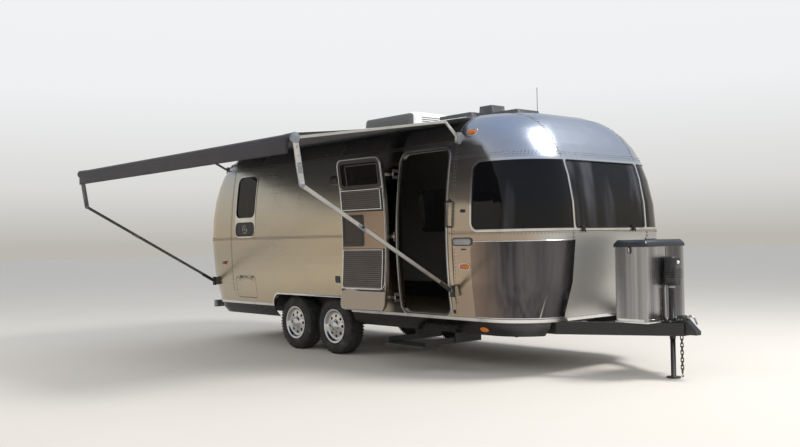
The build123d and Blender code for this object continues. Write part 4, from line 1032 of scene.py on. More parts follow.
@dataclass
class Studio:
    """Camera, floor, pale surroundings and soft lamps."""

    eye: tuple[float, float, float] = (4.7253, -7.8573, 0.963)
    yaw: float = 138.955
    pitch: float = 1.04
    roll: float = -1.089
    lens: float = 40.37
    sensor: float = 36.0
    floor_half: float = 90.0
    floor_tones: tuple[Colour, Colour] = ((0.66, 0.625, 0.57), (0.70, 0.665, 0.61))
    lamps: tuple[tuple[Colour, Colour, float, float, Colour], ...] = (
        ((2.3, 2.6, 9.4), (-1.6, -0.6, 1.4), 3.6, 950.0, (1.0, 0.985, 0.96)),
        ((8.5, -9.5, 5.5), (-3.0, -1.0, 0.8), 6.0, 300.0, (1.0, 0.98, 0.95)),
        ((-9.0, -11.0, 6.5), (-5.0, -1.0, 0.8), 6.0, 300.0, (1.0, 0.95, 0.88)),
    )
    seen: tuple[tuple[float, Colour], ...] = (
        (0.0, (0.50, 0.48, 0.44)), (0.500, (0.50, 0.48, 0.44)), (0.530, (0.70, 0.695, 0.68)),
        (0.580, (0.86, 0.87, 0.88)), (0.75, (0.92, 0.95, 0.99)), (1.0, (0.84, 0.90, 1.0)))
    mirrored: tuple[tuple[float, Colour], ...] = (
        (0.0, (0.50, 0.45, 0.38)), (0.497, (0.60, 0.54, 0.44)), (0.58, (0.66, 0.62, 0.52)),
        (0.68, (0.52, 0.56, 0.62)), (0.85, (0.36, 0.43, 0.56)), (1.0, (0.34, 0.42, 0.58)))
    light_share: float = 0.82

    def camera(self) -> None:
        """Camera at the photograph's place."""
        yaw, pitch, roll = (math.radians(turn) for turn in (self.yaw, self.pitch, self.roll))
        look = Vector((math.cos(yaw) * math.cos(pitch), math.sin(yaw) * math.cos(pitch), math.sin(pitch)))
        side = look.cross(Z_AXIS).normalized()
        top = side.cross(look)
        right = math.cos(roll) * side + math.sin(roll) * top
        above = math.cos(roll) * top - math.sin(roll) * side
        lens = bpy.data.cameras.new("camera")
        lens.lens, lens.sensor_width, lens.sensor_fit = self.lens, self.sensor, "HORIZONTAL"
        camera = linked("camera", lens)
        axes = Matrix((right, above, -look)).transposed().to_4x4()
        camera.matrix_world = Matrix.Translation(self.eye) @ axes
        bpy.context.scene.camera = camera

    def floor(self) -> None:
        """Plain pale floor."""
        shader = Shader("studio_floor")
        patch = shader.noise((0.7, 0.7, 0.7), 4.0)
        shader.set(Base_Color=shader.mix(patch, *self.floor_tones), Roughness=0.9, Specular_IOR_Level=0.1)
        mesh = bpy.data.meshes.new("studio_floor")
        shape = bmesh.new()
        bmesh.ops.create_grid(shape, x_segments=4, y_segments=4, size=self.floor_half,
                              matrix=Matrix.Translation((0, 0, GROUND - 0.001)))
        shape.to_mesh(mesh)
        shape.free()
        mesh.materials.append(shader.material)
        plane = linked("studio_floor", mesh)

    def ramp(self, nodes: Nodes, height: Value, stops: Sequence[tuple[float, Colour]]) -> NodeSocket:
        """Colours that change with height, from 0 straight down to 1 straight up."""
        made = nodes.node("ShaderNodeValToRGB", {}, {0: height})
        first, last = made.color_ramp.elements
        first.position, first.color = stops[0][0], (*stops[0][1], 1.0)
        last.position, last.color = stops[-1][0], (*stops[-1][1], 1.0)
        for position, colour in stops[1:-1]:
            made.color_ramp.elements.new(position).color = (*colour, 1.0)
        return made.outputs[0]

    def sky(self) -> None:
        """Pale surroundings, deeper in reflections, and softer as light."""
        world = bpy.data.worlds.new("studio_sky")
        world.use_nodes = True
        nodes = Nodes(world.node_tree)
        place = nodes.node("ShaderNodeTexCoord")
        split = nodes.node("ShaderNodeSeparateXYZ", {}, {0: place.outputs["Generated"]})
        height = Value(nodes, split.outputs[2]) * 0.5 + 0.5
        seen, mirrored = (self.ramp(nodes, height, stops) for stops in (self.seen, self.mirrored))
        ray = nodes.node("ShaderNodeLightPath")
        direct, through, glossy = (Value(nodes, ray.outputs[f"Is {kind} Ray"])
                                   for kind in ("Camera", "Transmission", "Glossy"))
        shown = direct.larger(through).larger(glossy)
        strength = shown * (1.0 - self.light_share) + self.light_share
        back = nodes.node("ShaderNodeBackground", {},
                          {"Color": nodes.mix(glossy, seen, mirrored), "Strength": strength})
        nodes.node("ShaderNodeOutputWorld", {}, {0: back.outputs[0]})
        bpy.context.scene.world = world

    def build(self) -> None:
        """Sets up the studio, whose first lamp alone shows in reflections."""
        self.camera()
        self.floor()
        self.sky()
        for index, (place, aim, size, power, colour) in enumerate(self.lamps):
            light = bpy.data.lights.new(f"softbox_{index}", "AREA")
            light.shape, light.size, light.energy, light.color = "DISK", size, power, colour
            lamp = linked(f"softbox_{index}", light)
            lamp.matrix_world = toward(Vector(place), Vector(place) - Vector(aim))
            lamp.visible_glossy = index == 0
        bpy.context.scene.view_settings.view_transform = "Standard"


@dataclass
class Shell:
    """Polished skin: shaded walls, seams and rows of rivets."""

    shop: Workshop
    pitch: float = 0.038
    rivet: float = 0.0072
    seam: float = 0.006
    beside: float = 0.016
    row: float = 0.014
    belt_row: float = 0.015
    uprights: tuple[float, ...] = (-5.880, -4.980, -4.110, -3.260)
    upright_turn: float = 35.0
    cap_lines: tuple[float, ...] = (-0.640, 0.640)
    window_top: float = 2.262
    window_rows: tuple[float, ...] = (0.0, 0.022)
    window_share: Range = (0.30, 0.66)
    guard_levels: tuple[float, ...] = (1.380, 0.598)
    guard_share: Range = (0.30, 0.70)
    guard_rear: float = -1.796
    guard_gap: float = 0.616
    ring_ends: Range = (-7.62, -0.84)
    ring_half: float = 1.30
    ring_corner: float = 0.62
    straight: Range = (-6.9, -1.6)
    core_ends: Range = (-6.95, -1.50)
    core_half: float = 0.60
    far: float = 2.6
    reach: float = 2.2
    gap: float = 0.12

    def around(self, level: float, start: float = 0.0, end: float = 1.0, tree: BVHTree | None = None,
               step: float = 0.02) -> list[list[Place]]:
        """Trails round the body at a level, broken where the skin is open.

        Args:
            level: height above the ground.
            start: where to start, as a share of the way round from the middle of the rear by the door side.
            end: where to end.
            tree: surface that counts.
            step: distance between places.

        Returns:
            The trails.
        """
        half = self.ring_half
        plan = divided(rounded(self.ring_ends, (-half, half), self.ring_corner, 12), step)
        middle = next(index for index, (x, y) in enumerate(plan) if x < self.ring_ends[0] + 0.02 and y < 0.0)
        plan = plan[middle:] + plan[:middle]
        rays = []
        for x, y in plan[int(start * len(plan)):int(end * len(plan))]:
            way = (within(x, *self.core_ends) - x, within(y, -self.core_half, self.core_half) - y, 0.0)
            if abs(y) >= half - 0.01 and self.straight[0] < x < self.straight[1]:
                way = (0.0, -y, 0.0)
            rays.append(((x, y, up(level)), way))
        return self.trails(rays, 1.3, tree)

    def trails(self, rays: Iterable[Ray], reach: float, tree: BVHTree | None = None) -> list[list[Place]]:
        """Trails that a run of rays draws on a surface, broken where a ray misses or leaps.

        Args:
            rays: the rays.
            reach: how far they go.
            tree: the surface, or None for the skin.

        Returns:
            The trails of three places or more.
        """
        found: list[list[Place]] = [[]]
        for ray in rays:
            place = self.shop.seat(*ray, tree, reach)
            last = found[-1][-1][0] if found[-1] else None
            if place is None or (last is not None and (place[0] - last).length > self.gap):
                found.append([])
            if place is not None:
                found[-1].append(place)
        return [trail for trail in found if len(trail) > 2]

    def fan(self, centre: Row, out: Vector, start: float, end: float, steps: int) -> list[list[Place]]:
        """Trails of rays that come in toward a centre.

        Args:
            centre: the centre.
            out: where a turn of 90 degrees points.
            start: turn of the first ray from upright, in degrees.
            end: turn of the last.
            steps: steps between them.

        Returns:
            The trails.
        """
        rays = []
        for index in range(steps + 1):
            turn = math.radians(start + (end - start) * index / steps)
            way = math.sin(turn) * out + math.cos(turn) * Z_AXIS
            rays.append((Vector(centre) + self.far * way, -way))
        return self.trails(rays, self.reach)

    def section(self, x: float, turn: float = 97.0) -> list[list[Place]]:
        """Trails over the body across it, from a turn on the left side to the same on the door side."""
        return self.fan((x, 0.0, 0.42), Y_AXIS, turn, -turn, int(2 * turn / 0.6))

    def meridian(self, y: float, end: int) -> list[list[Place]]:
        """Trails up an end cap at a distance from the middle plane: end is 1 in front, -1 at the rear."""
        seam = FRONT_SEAM if end > 0 else REAR_SEAM
        return self.fan((seam + end * 0.15, y, 0.65), end * X_AXIS, 102.0, 0.0, 139)

    def eave(self, side: int, level: float) -> list[list[Place]]:
        """Trails along the roof's edge on one side, at a level."""
        return self.trails([side_ray(x, up(level), side, 1.6) for x in self.steps()], 1.3)

    def rivets(self, trails: Iterable[list[Place]], shift: float = 0.0) -> Iterator[Matrix]:
        """Matrix of each rivet along trails that are moved sideways on the skin by a shift."""
        for trail in trails:
            previous = None
            for spot, out in spaced(trail, self.pitch):
                if not shift:
                    yield toward(spot, out)
                elif previous is not None:
                    side = (spot - previous).cross(out).normalized()
                    moved = self.shop.seat(spot + side * shift + out * 0.05, -out, None, 0.12)
                    if moved is not None:
                        yield toward(*moved)
                previous = spot

    def dome(self) -> BMesh:
        """Head of one rivet."""
        size = self.rivet
        shape = bmesh.new()
        bmesh.ops.create_cone(shape, cap_ends=False, segments=8, radius1=size, radius2=0.62 * size,
                              depth=0.5 * size, matrix=Matrix.Translation((0, 0, 0.2 * size)))
        rim = [edge for edge in shape.edges if all(vert.co.z > 0.3 * size for vert in edge.verts)]
        bmesh.ops.contextual_create(shape, geom=rim)
        cap = [face for face in shape.faces if len(face.verts) > 4]
        bmesh.ops.inset_region(shape, faces=cap, thickness=0.3 * size, depth=0.12 * size)
        return shape

    def walls(self) -> None:
        """Shaded copies of the walls, caps and roof, with the cabin's lining inside."""
        def inside(middle: Vector, normal: Vector) -> bool:
            """Whether a face looks into the cabin."""
            out = middle - Vector((within(middle.x, *self.straight), 0.0, 0.9))
            return normal.dot(out) < -0.3 * out.length and middle.z > up(SILL) + 0.01

        for name in self.shop.shell:
            self.shop.shaded(name, Coat.SKIN, Coat.LINING, angle=24.0, inner=inside)
        for name, coat in (("skirt", Coat.SKIRT), ("sill_rail", Coat.TRIM), ("stone_guards", Coat.GUARD)):
            self.shop.shaded(name, coat)

    def lines(self) -> None:
        """Seams and rivets."""
        belt = self.around(BELT)
        tops = [self.around(self.window_top + rise, *self.window_share) for rise in self.window_rows]
        beside = [self.section(FRONT_SEAM + self.beside), self.section(REAR_SEAM - self.beside)]
        uprights = [self.section(x, self.upright_turn) for x in self.uprights]
        meridians = [self.meridian(y, end) for y in self.cap_lines for end in (1, -1)]
        eaves = [self.eave(side, ROOF_SEAM + rise)
                 for side in (-1, 1) for rise in (-self.beside, self.beside)]

        seams = Piece("skin_seams", [Coat.SEAM])
        edges = [self.eave(side, ROOF_SEAM) for side in (-1, 1)]
        joints = [self.section(FRONT_SEAM), self.section(REAR_SEAM)]
        for trails in (belt, *edges, *joints, *meridians, *uprights):
            for trail in trails:
                seams.add(strip(trail, self.seam, 0.0012))
        self.shop.finish(seams, "body", "trim")
        self.folds()

        rows = Piece("skin_rivets", [Coat.RIVET])
        places = [*self.rivets(belt, self.belt_row), *self.rivets(belt, -self.belt_row)]
        for trails in tops:
            places += self.rivets(trails)
        for trails in (*beside, *uprights, *meridians):
            places += [*self.rivets(trails, self.row), *self.rivets(trails, -self.row)]
        for trails in eaves:
            places += self.rivets(trails)
        rows.stamp(self.dome(), places)
        log.info("%d rivets", len(places))
        self.shop.finish(rows, "body", "trim", 60.0)

    def folds(self) -> None:
        """Bright folded edges of the stone guards."""
        piece = Piece("guard_edges", [Coat.TRIM])
        for level in self.guard_levels:
            for trail in self.around(level, *self.guard_share, self.shop.outside):
                for side in (-1, 1):
                    half = [place for place in trail
                            if place[0].x > self.guard_rear and place[0].y * side > self.guard_gap]
                    if len(half) > 2:
                        piece.add(strip(half, 0.009, 0.003))
        self.shop.finish(piece, "body", "trim")

    def steps(self) -> Iterator[float]:
        """Places along the middle of the body."""
        count = int((FRONT_SEAM - REAR_SEAM) / 0.05)
        run = FRONT_SEAM - REAR_SEAM - 0.02
        return (REAR_SEAM + 0.01 + run * index / count for index in range(count + 1))

    def build(self) -> None:
        """Builds the shell."""
        self.walls()
        self.lines()


@dataclass
class Windows:
    """Bright frames, dark panes, gaskets and latches.

    A row of sides: side, rear, front, low and high level, corner. A row of ends: end, start of its rays,
    half the width, low and high level, corner.
    """

    shop: Workshop
    gasket: float = 0.009
    proud: float = 0.003
    sides: tuple[Row, ...] = (
        (-1, -6.460, -5.990, 1.770, 2.330, 0.085),
        (-1, -6.460, -5.990, 1.510, 1.690, 0.070),
        (1, -6.460, -5.990, 1.770, 2.330, 0.085),
        (1, -5.150, -4.250, 1.520, 2.140, 0.085),
        (1, -3.500, -2.700, 1.600, 2.140, 0.085),
    )
    ends: tuple[Row, ...] = (
        (1, 0.0, 0.600, 1.500, 2.200, 0.022),
        (-1, -8.5, 0.520, 1.540, 2.080, 0.085),
    )
    latches: tuple[float, ...] = (-0.49, 0.38)
    latch_level: float = 1.492

    def seal(self, piece: Piece, points: Outline, ray: Callable[[float, float], Ray]) -> None:
        """Lays a gasket along a closed outline, each point of it seated by a ray."""
        places = self.shop.seats([ray(*point) for point in divided(points, 0.03)], self.shop.outside)
        if len(places) > 7:
            piece.add(strip(places, self.gasket, self.proud, closed=True))

    def build(self) -> None:
        """Builds the windows."""
        shop = self.shop
        for name in ("front_glass", "side_glass", "door_glass"):
            shop.shaded(name, Coat.GLASS, angle=24.0)
        shop.shaded("window_frames", Coat.TRIM, angle=24.0)
        seals = Piece("window_seals", [Coat.GASKET])
        grow = self.gasket / 2
        for side, rear, front, low, high, corner in self.sides:
            points = rounded((rear - grow, front + grow), (up(low) - grow, up(high) + grow), corner)
            self.seal(seals, points, lambda x, z, side=side: side_ray(x, z, side))
        for end, start, half, low, high, corner in self.ends:
            points = rounded((-half, half), (up(low), up(high)), corner)
            self.seal(seals, points, lambda y, z, start=start, end=end: ((start, y, z), (-end, 0, 0)))
        shop.finish(seals, "body", "black_plastic")
        grips = Piece("window_latches", [Coat.BLACK])
        for y in self.latches:
            at = toward(*shop.seat((0.0, y, up(self.latch_level)), (-1, 0, 0), shop.outside))
            grips.add(block((-0.016, 0.016), (-0.030, 0.030), (-0.006, 0.012), 0.004), at=at)
            grips.add(rod([(0, 0.018, 0.006), (0, 0.026, 0.020), (0, -0.040, 0.030)], 0.007, 8), at=at)
        shop.finish(grips, "body", "black_plastic")


@dataclass
class EntryDoor:
    """Open door with its screen door: louvred fields, cross bars, pocket and kick plate."""

    shop: Workshop
    hinge: tuple[float, float] = (-2.980, -1.242)
    swing: float = 176.0
    free_edge: float = -2.176
    hinge_edge: float = -2.924
    screen: float = 0.0424
    bow: float = 5.200
    bow_level: float = 1.410
    opening: Range = (0.600, 2.375)
    fields: tuple[Range, ...] = ((0.860, 1.305), (1.775, 2.000))
    bars: tuple[Range, ...] = ((0.826, 0.850), (1.296, 1.318), (1.742, 1.764))

    def wall(self, z: float, depth: float = 0.0) -> float:
        """Y of the bowed door-side wall at a height, or of a place at a depth inside it."""
        rise = z - GROUND - self.bow_level
        return self.bow - HALF_WIDTH - math.sqrt(max((self.bow - depth) ** 2 - rise * rise, 0.0))

    def opened(self, point: Vector) -> Vector:
        """Place with the door open of a point drawn on its closed inner face.

        Args:
            point: distance along X, height above the face and height in the frame.

        Returns:
            The place.
        """
        turn = Matrix.Rotation(math.radians(-self.swing), 4, "Z")
        pivot = Vector((*self.hinge, 0.0))
        closed = Vector((point.x, self.wall(point.z, self.screen + point.y), point.z))
        return pivot + turn @ (closed - pivot)

    def lay(self, piece: Piece, coat: Coat, x: Range, levels: Range, thick: float, corner: float = 0.008,
            hole: float = 0.0, bevel: float = 0.0) -> None:
        """Lays a plate or band on the inner face.

        Args:
            piece: the piece that takes it.
            coat: its finish.
            x: its two ends along X of the closed door.
            levels: its two levels above the ground.
            thick: thickness.
            corner: radius of its corners.
            hole: width of the band, or 0 for a whole plate.
            bevel: rounding of its outer edges.
        """
        ends, heights = sorted(x), sorted(up(level) for level in levels)
        tall = heights[1] - heights[0]
        part = sheet_metal(ends[1] - ends[0], tall, corner, thick, hole, bevel)
        cuts = [edge for edge in part.edges
                if abs(edge.verts[0].co.y - edge.verts[1].co.y) > 0.5 * max(tall, 0.2)]
        if cuts:
            bmesh.ops.subdivide_edges(part, edges=cuts, cuts=5, use_grid_fill=True)
        at = placed((sum(ends) / 2, 0.0, sum(heights) / 2), -QUARTER, "X")
        piece.add(part, coat, at, self.opened)

    def slats(self, piece: Piece, low: float, high: float, rear: float, front: float,
              pitch: float = 0.024) -> None:
        """Row of slats over a dark ground, between two levels.

        Args:
            piece: the piece that takes them.
            low: level of the lowest edge.
            high: level of the highest edge.
            rear: rear end along X of the closed door.
            front: front end along X.
            pitch: distance between slats.
        """
        self.lay(piece, Coat.BROWN, (rear, front), (low, high), 0.003)
        count = round((high - low) / pitch)
        half = 0.26 * pitch
        for index in range(count):
            level = up(low) + (high - low) * (index + 0.5) / count
            slat = block((rear, front), (-0.002, 0.007), (level - half, level + half), 0.0015, 1)
            piece.add(slat, Coat.LOUVRE, bend=self.opened)

    def leaf(self) -> None:
        """What lies on the inner face, from the head of the screen door down to its kick plate."""
        piece = Piece("screen_door_fittings", [Coat.TRIM, Coat.BEIGE, Coat.BROWN, Coat.LOUVRE, Coat.BLACK,
                                              Coat.DOORSKIN, Coat.NET, Coat.DARKGREY])
        rear, front = self.hinge_edge + 0.008, self.free_edge - 0.008
        inner, outer = self.hinge_edge + 0.034, self.free_edge - 0.034
        sash, pocket = (inner + 0.030, outer - 0.100), (front - 0.030, front - 0.350)
        self.lay(piece, Coat.BROWN, (rear, front), (2.010, 2.352), 0.002, 0.082, hole=0.045)
        self.lay(piece, Coat.NET, (inner - 0.006, outer + 0.006), (2.030, 2.315), 0.001, 0.06)
        self.lay(piece, Coat.DARKGREY, sash, (1.990, 2.290), 0.003, 0.02, hole=0.012)
        self.lay(piece, Coat.BEIGE, (rear, front), (1.314, 1.748), 0.003, 0.006, bevel=0.001)
        self.lay(piece, Coat.BROWN, (front - 0.004, front - 0.375), (1.345, 1.712), 0.010, 0.02, bevel=0.003)
        self.lay(piece, Coat.BROWN, pocket, (1.378, 1.680), 0.014, 0.02, 0.010, 0.002)
        self.lay(piece, Coat.DOORSKIN, (rear, front), (0.624, 0.900), 0.002, 0.070)
        for levels in self.bars:
            self.lay(piece, Coat.BLACK, (rear, front), levels, 0.003)
        self.lay(piece, Coat.TRIM, (rear - 0.002, front + 0.002), (0.846, 2.362), 0.011, 0.088, 0.010, 0.004)
        for low, high in self.fields:
            levels = (low - 0.008, high + 0.006)
            self.lay(piece, Coat.TRIM, (inner + 0.018, front - 0.004), levels, 0.012, 0.014, 0.013, 0.004)
            self.lay(piece, Coat.BLACK, (rear + 0.012, inner + 0.016), levels, 0.003)
            self.slats(piece, low + 0.010, high - 0.010, inner + 0.026, front - 0.014)
        self.shop.finish(piece, "door", "trim")

    def seals(self) -> None:
        """Rubber round the doorway and the bright lip of its frame."""
        piece = Piece("doorway_seal", [Coat.GASKET, Coat.TRIM])
        for grow, width, coat in ((0.007, 0.009, Coat.GASKET), (0.030, 0.007, Coat.TRIM)):
            ends = (DOOR_ENDS[0] - grow, DOOR_ENDS[1] + grow)
            heights = (up(self.opening[0]) - grow, up(self.opening[1]) + grow)
            places = []
            for x, z in divided(rounded(ends, heights, 0.090 + grow), 0.04):
                place = self.shop.seat(*side_ray(x, z, -1), self.shop.outside, 0.62)
                places.append(place or (Vector((x, self.wall(z), z)), -Y_AXIS))
            piece.add(strip(places, width, 0.004, 0.004, True), coat)
        self.shop.finish(piece, "body", "black_plastic")

    def build(self) -> None:
        """Builds the door."""
        shop = self.shop
        shop.shaded("door_leaf", Coat.DOORSKIN, angle=28.0)
        shop.shaded("screen_door", Coat.JAMB, angle=28.0)
        shop.shaded("door_frame", Coat.REVEAL, Coat.JAMB, angle=28.0,
                    inner=lambda middle, normal: normal.y < -0.6)
        shop.dress(Coat.DARKGREY, "door_hinges")
        self.leaf()
        self.seals()


@dataclass
class Awning:
    """Cloth, valance, roller, arms and their castings.

    Inner, outer, elbow and foot are places across the body. A row of arms: place along the body, and the
    Y and level of its rafter's pin on the wall.
    """

    shop: Workshop
    ends: Range = (-7.035, -2.108)
    inner: tuple[float, float] = (-0.916, 2.274)
    outer: tuple[float, float] = (-3.200, 1.9585)
    sag: float = 0.050
    thick: float = 0.003
    drop: float = 0.142
    hem: float = 0.012
    roller: tuple[float, float, float] = (-3.200, 1.915, 0.042)
    roll_half: float = 2.470
    arms: tuple[Row, ...] = ((-7.080, -0.960, 2.490), (-2.063, -1.105, 2.490))
    elbow: tuple[float, float] = (-3.130, 1.480)
    foot: tuple[float, float] = (-1.234, 0.410)
    joint_y: float = -2.437
    nuts: tuple[Row, ...] = ((0.085, 0.010), (0.170, 0.008), (0.255, 0.010))
    cap: Profile = ((0.0, 0.012), (0.020, 0.011), (0.040, 0.006), (0.046, 0.0), (0.046, -0.020),
                    (0.043, -0.024))
    head: Profile = ((0.0, 0.022), (0.018, 0.022), (0.022, 0.018), (0.046, 0.016), (0.052, 0.010),
                     (0.052, -0.010), (0.0, -0.010))
    knob: Profile = ((0.0, 0.024), (0.012, 0.022), (0.015, 0.012), (0.009, 0.008), (0.009, 0.0))
    bolt: Profile = ((0.0, 0.018), (0.014, 0.016), (0.018, 0.010), (0.018, -0.010), (0.0, -0.010))

    def line(self, along: float) -> tuple[float, float]:
        """Y and Z of the taut cloth at a share of its way from the rail to the roller."""
        return tuple(inner + along * (outer - inner) for inner, outer in zip(self.inner, self.outer))

    def sheet(self, name: str, shape: BMesh) -> bpy.types.Object:
        """Makes a cloth shape a piece and gives it its thickness."""
        made = self.shop.finish(Piece(name, [Coat.CLOTH], shape), "body", "awning_cloth", 80.0)
        solid = made.modifiers.new("thickness", "SOLIDIFY")
        solid.thickness, solid.offset = self.thick, 0.0
        return made

    def cloth(self) -> None:
        """One curved sheet from the rail to the roller, with a hem at each end."""
        width = self.ends[1] - self.ends[0]
        length = math.dist(self.inner, self.outer)
        shape = flat_cloth(width, length, 60, 40)
        for vert in shape.verts:
            across, along = vert.co.x + 0.5, vert.co.y + 0.5
            y, z = self.line(along)
            bulge = math.sin(math.pi * along)
            slack = 1.0 - (2.0 * across - 1.0) ** 8
            ripple = 0.006 * math.sin(9.0 * math.pi * across) * bulge ** 2
            z -= bulge * (0.55 + 0.45 * slack) * self.sag - ripple
            if not 0.02 <= across <= 0.98:
                z += 0.004
            vert.co = Vector((self.ends[0] + across * width, y, z))
        bmesh.ops.recalc_face_normals(shape, faces=shape.faces[:])
        made = self.sheet("awning_cloth", shape)
        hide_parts("awning_fabric")
        piece = Piece("awning_hem", [Coat.EDGE])
        for x in (self.ends[0] + self.hem, self.ends[1] - self.hem):
            points = []
            for along in (index / 30 for index in range(31)):
                y, z = self.line(along)
                points.append(Vector((x, y, z - math.sin(math.pi * along) * 0.55 * self.sag + 0.006)))
            piece.add(swept(ring_section(0.010, 8, 0.4), frames(points, Z_AXIS)))
        hemmed = self.shop.finish(piece, "body", "awning_cloth")

    def valance(self) -> None:
        """Short flap that hangs in slight waves from the roller, along its whole length."""
        y, z, radius = self.roller
        width, drop = self.ends[1] - self.ends[0], self.drop
        shape = flat_cloth(width, drop, 90, 6)
        for vert in shape.verts:
            across, down = vert.co.x + 0.5, 0.5 - vert.co.y
            wave = 0.0025 * down * math.sin(22.0 * math.pi * across)
            vert.co = Vector((self.ends[0] + across * width, y - radius - 0.0035 - wave, z - down * drop))
        made = self.sheet("awning_valance", shape)

    def roll(self) -> None:
        """Rolled cloth on the tube and its end caps."""
        y, z, radius = self.roller
        middle, outside = sum(self.ends) / 2, radius + 0.0008
        piece = Piece("awning_roll", [Coat.CLOTH, Coat.BLACK])
        piece.shape.loops.layers.uv.new("UVMap")
        tube = turned(((outside, -self.roll_half), (outside, self.roll_half)), 40)
        uvs = tube.loops.layers.uv.new("UVMap")
        for face in tube.faces:
            for loop in face.loops:
                loop[uvs].uv = (loop.vert.co.z, math.atan2(loop.vert.co.y, loop.vert.co.x) * radius)
        piece.add(tube, at=placed((middle, y, z), QUARTER, "Y"))
        for end in (-1, 1):
            at = placed((middle + end * (self.roll_half + 0.004), y, z), end * QUARTER, "Y")
            piece.add(turned(self.cap, 32), Coat.BLACK, at)
        self.shop.finish(piece, "body", "awning_cloth")
        self.shop.dress(Coat.CLOTH, "awning_roller")
        self.shop.dress(Coat.DARKGREY, "awning_rail")

    def sleeve(self, first: Vector, second: Vector, width: float, deep: float) -> BMesh:
        """Flat sleeve round an arm, between two places of it."""
        return swept(band_section(width, deep, deep), frames([first, second], X_AXIS))

    def castings(self) -> None:
        """Heads, elbows, sliding sleeves, knobs and foot brackets of the arms."""
        # The rear arm takes the darker copy of the arm metal as painted shade.
        self.shop.shaded("awning_arms", Coat.ARM, Coat.SHADED_ARM, inner=lambda middle, normal: middle.x < -6.0)
        piece = Piece("arm_castings", [Coat.CAST, Coat.BLACK, Coat.ZINC])
        for x, base_y, base_level in self.arms:
            out = X_AXIS * (1 if x > -4 else -1)
            turn = out.x * QUARTER
            head, elbow, foot = (Vector((x, *spot)) for spot in (self.roller[:2], self.elbow, self.foot))
            down, arm = (elbow - head).normalized(), (foot - elbow).normalized()
            joint = elbow.lerp(foot, (elbow.y - self.joint_y) / (elbow.y - foot.y))
            low = foot - arm * 0.02
            piece.add(turned(self.head, 28), at=placed(head, turn, "Y"))
            for reach, size in self.nuts:
                nut = turned(((0.0, size), (size, 0.8 * size), (1.2 * size, 0.0)), 6)
                piece.add(nut, Coat.ZINC, placed(head + down * reach + out * 0.011, turn, "Y"))
            piece.add(self.sleeve(head + down * 0.230, head + down * 0.330, 0.050, 0.017))
            piece.add(self.sleeve(joint - arm * 0.05, joint + arm * 0.05, 0.039, 0.0135))
            piece.add(self.sleeve(foot - arm * 0.210, low, 0.040, 0.014), Coat.BLACK)
            piece.add(turned(self.knob, 16), Coat.BLACK, placed(joint + out * 0.014, turn, "Y"))
            for spot, size in ((elbow, 0.024), (low, 0.020)):
                pin = ((0.0, 0.017), (0.6 * size, 0.016), (size, 0.012), (size, -0.012), (0.0, -0.012))
                piece.add(turned(pin, 20), at=placed(spot, turn, "Y"))
            piece.add(block((x - 0.030, x + 0.030), (foot.y - 0.012, foot.y + 0.020),
                            (foot.z - 0.062, foot.z + 0.062), 0.008), Coat.BLACK)
            piece.add(turned(self.bolt, 20), at=placed((x, base_y, up(base_level)), turn, "Y"))
        self.shop.finish(piece, "body", "trim")

    def build(self) -> None:
        """Builds the awning."""
        self.cloth()
        self.valance()
        self.roll()
        self.castings()


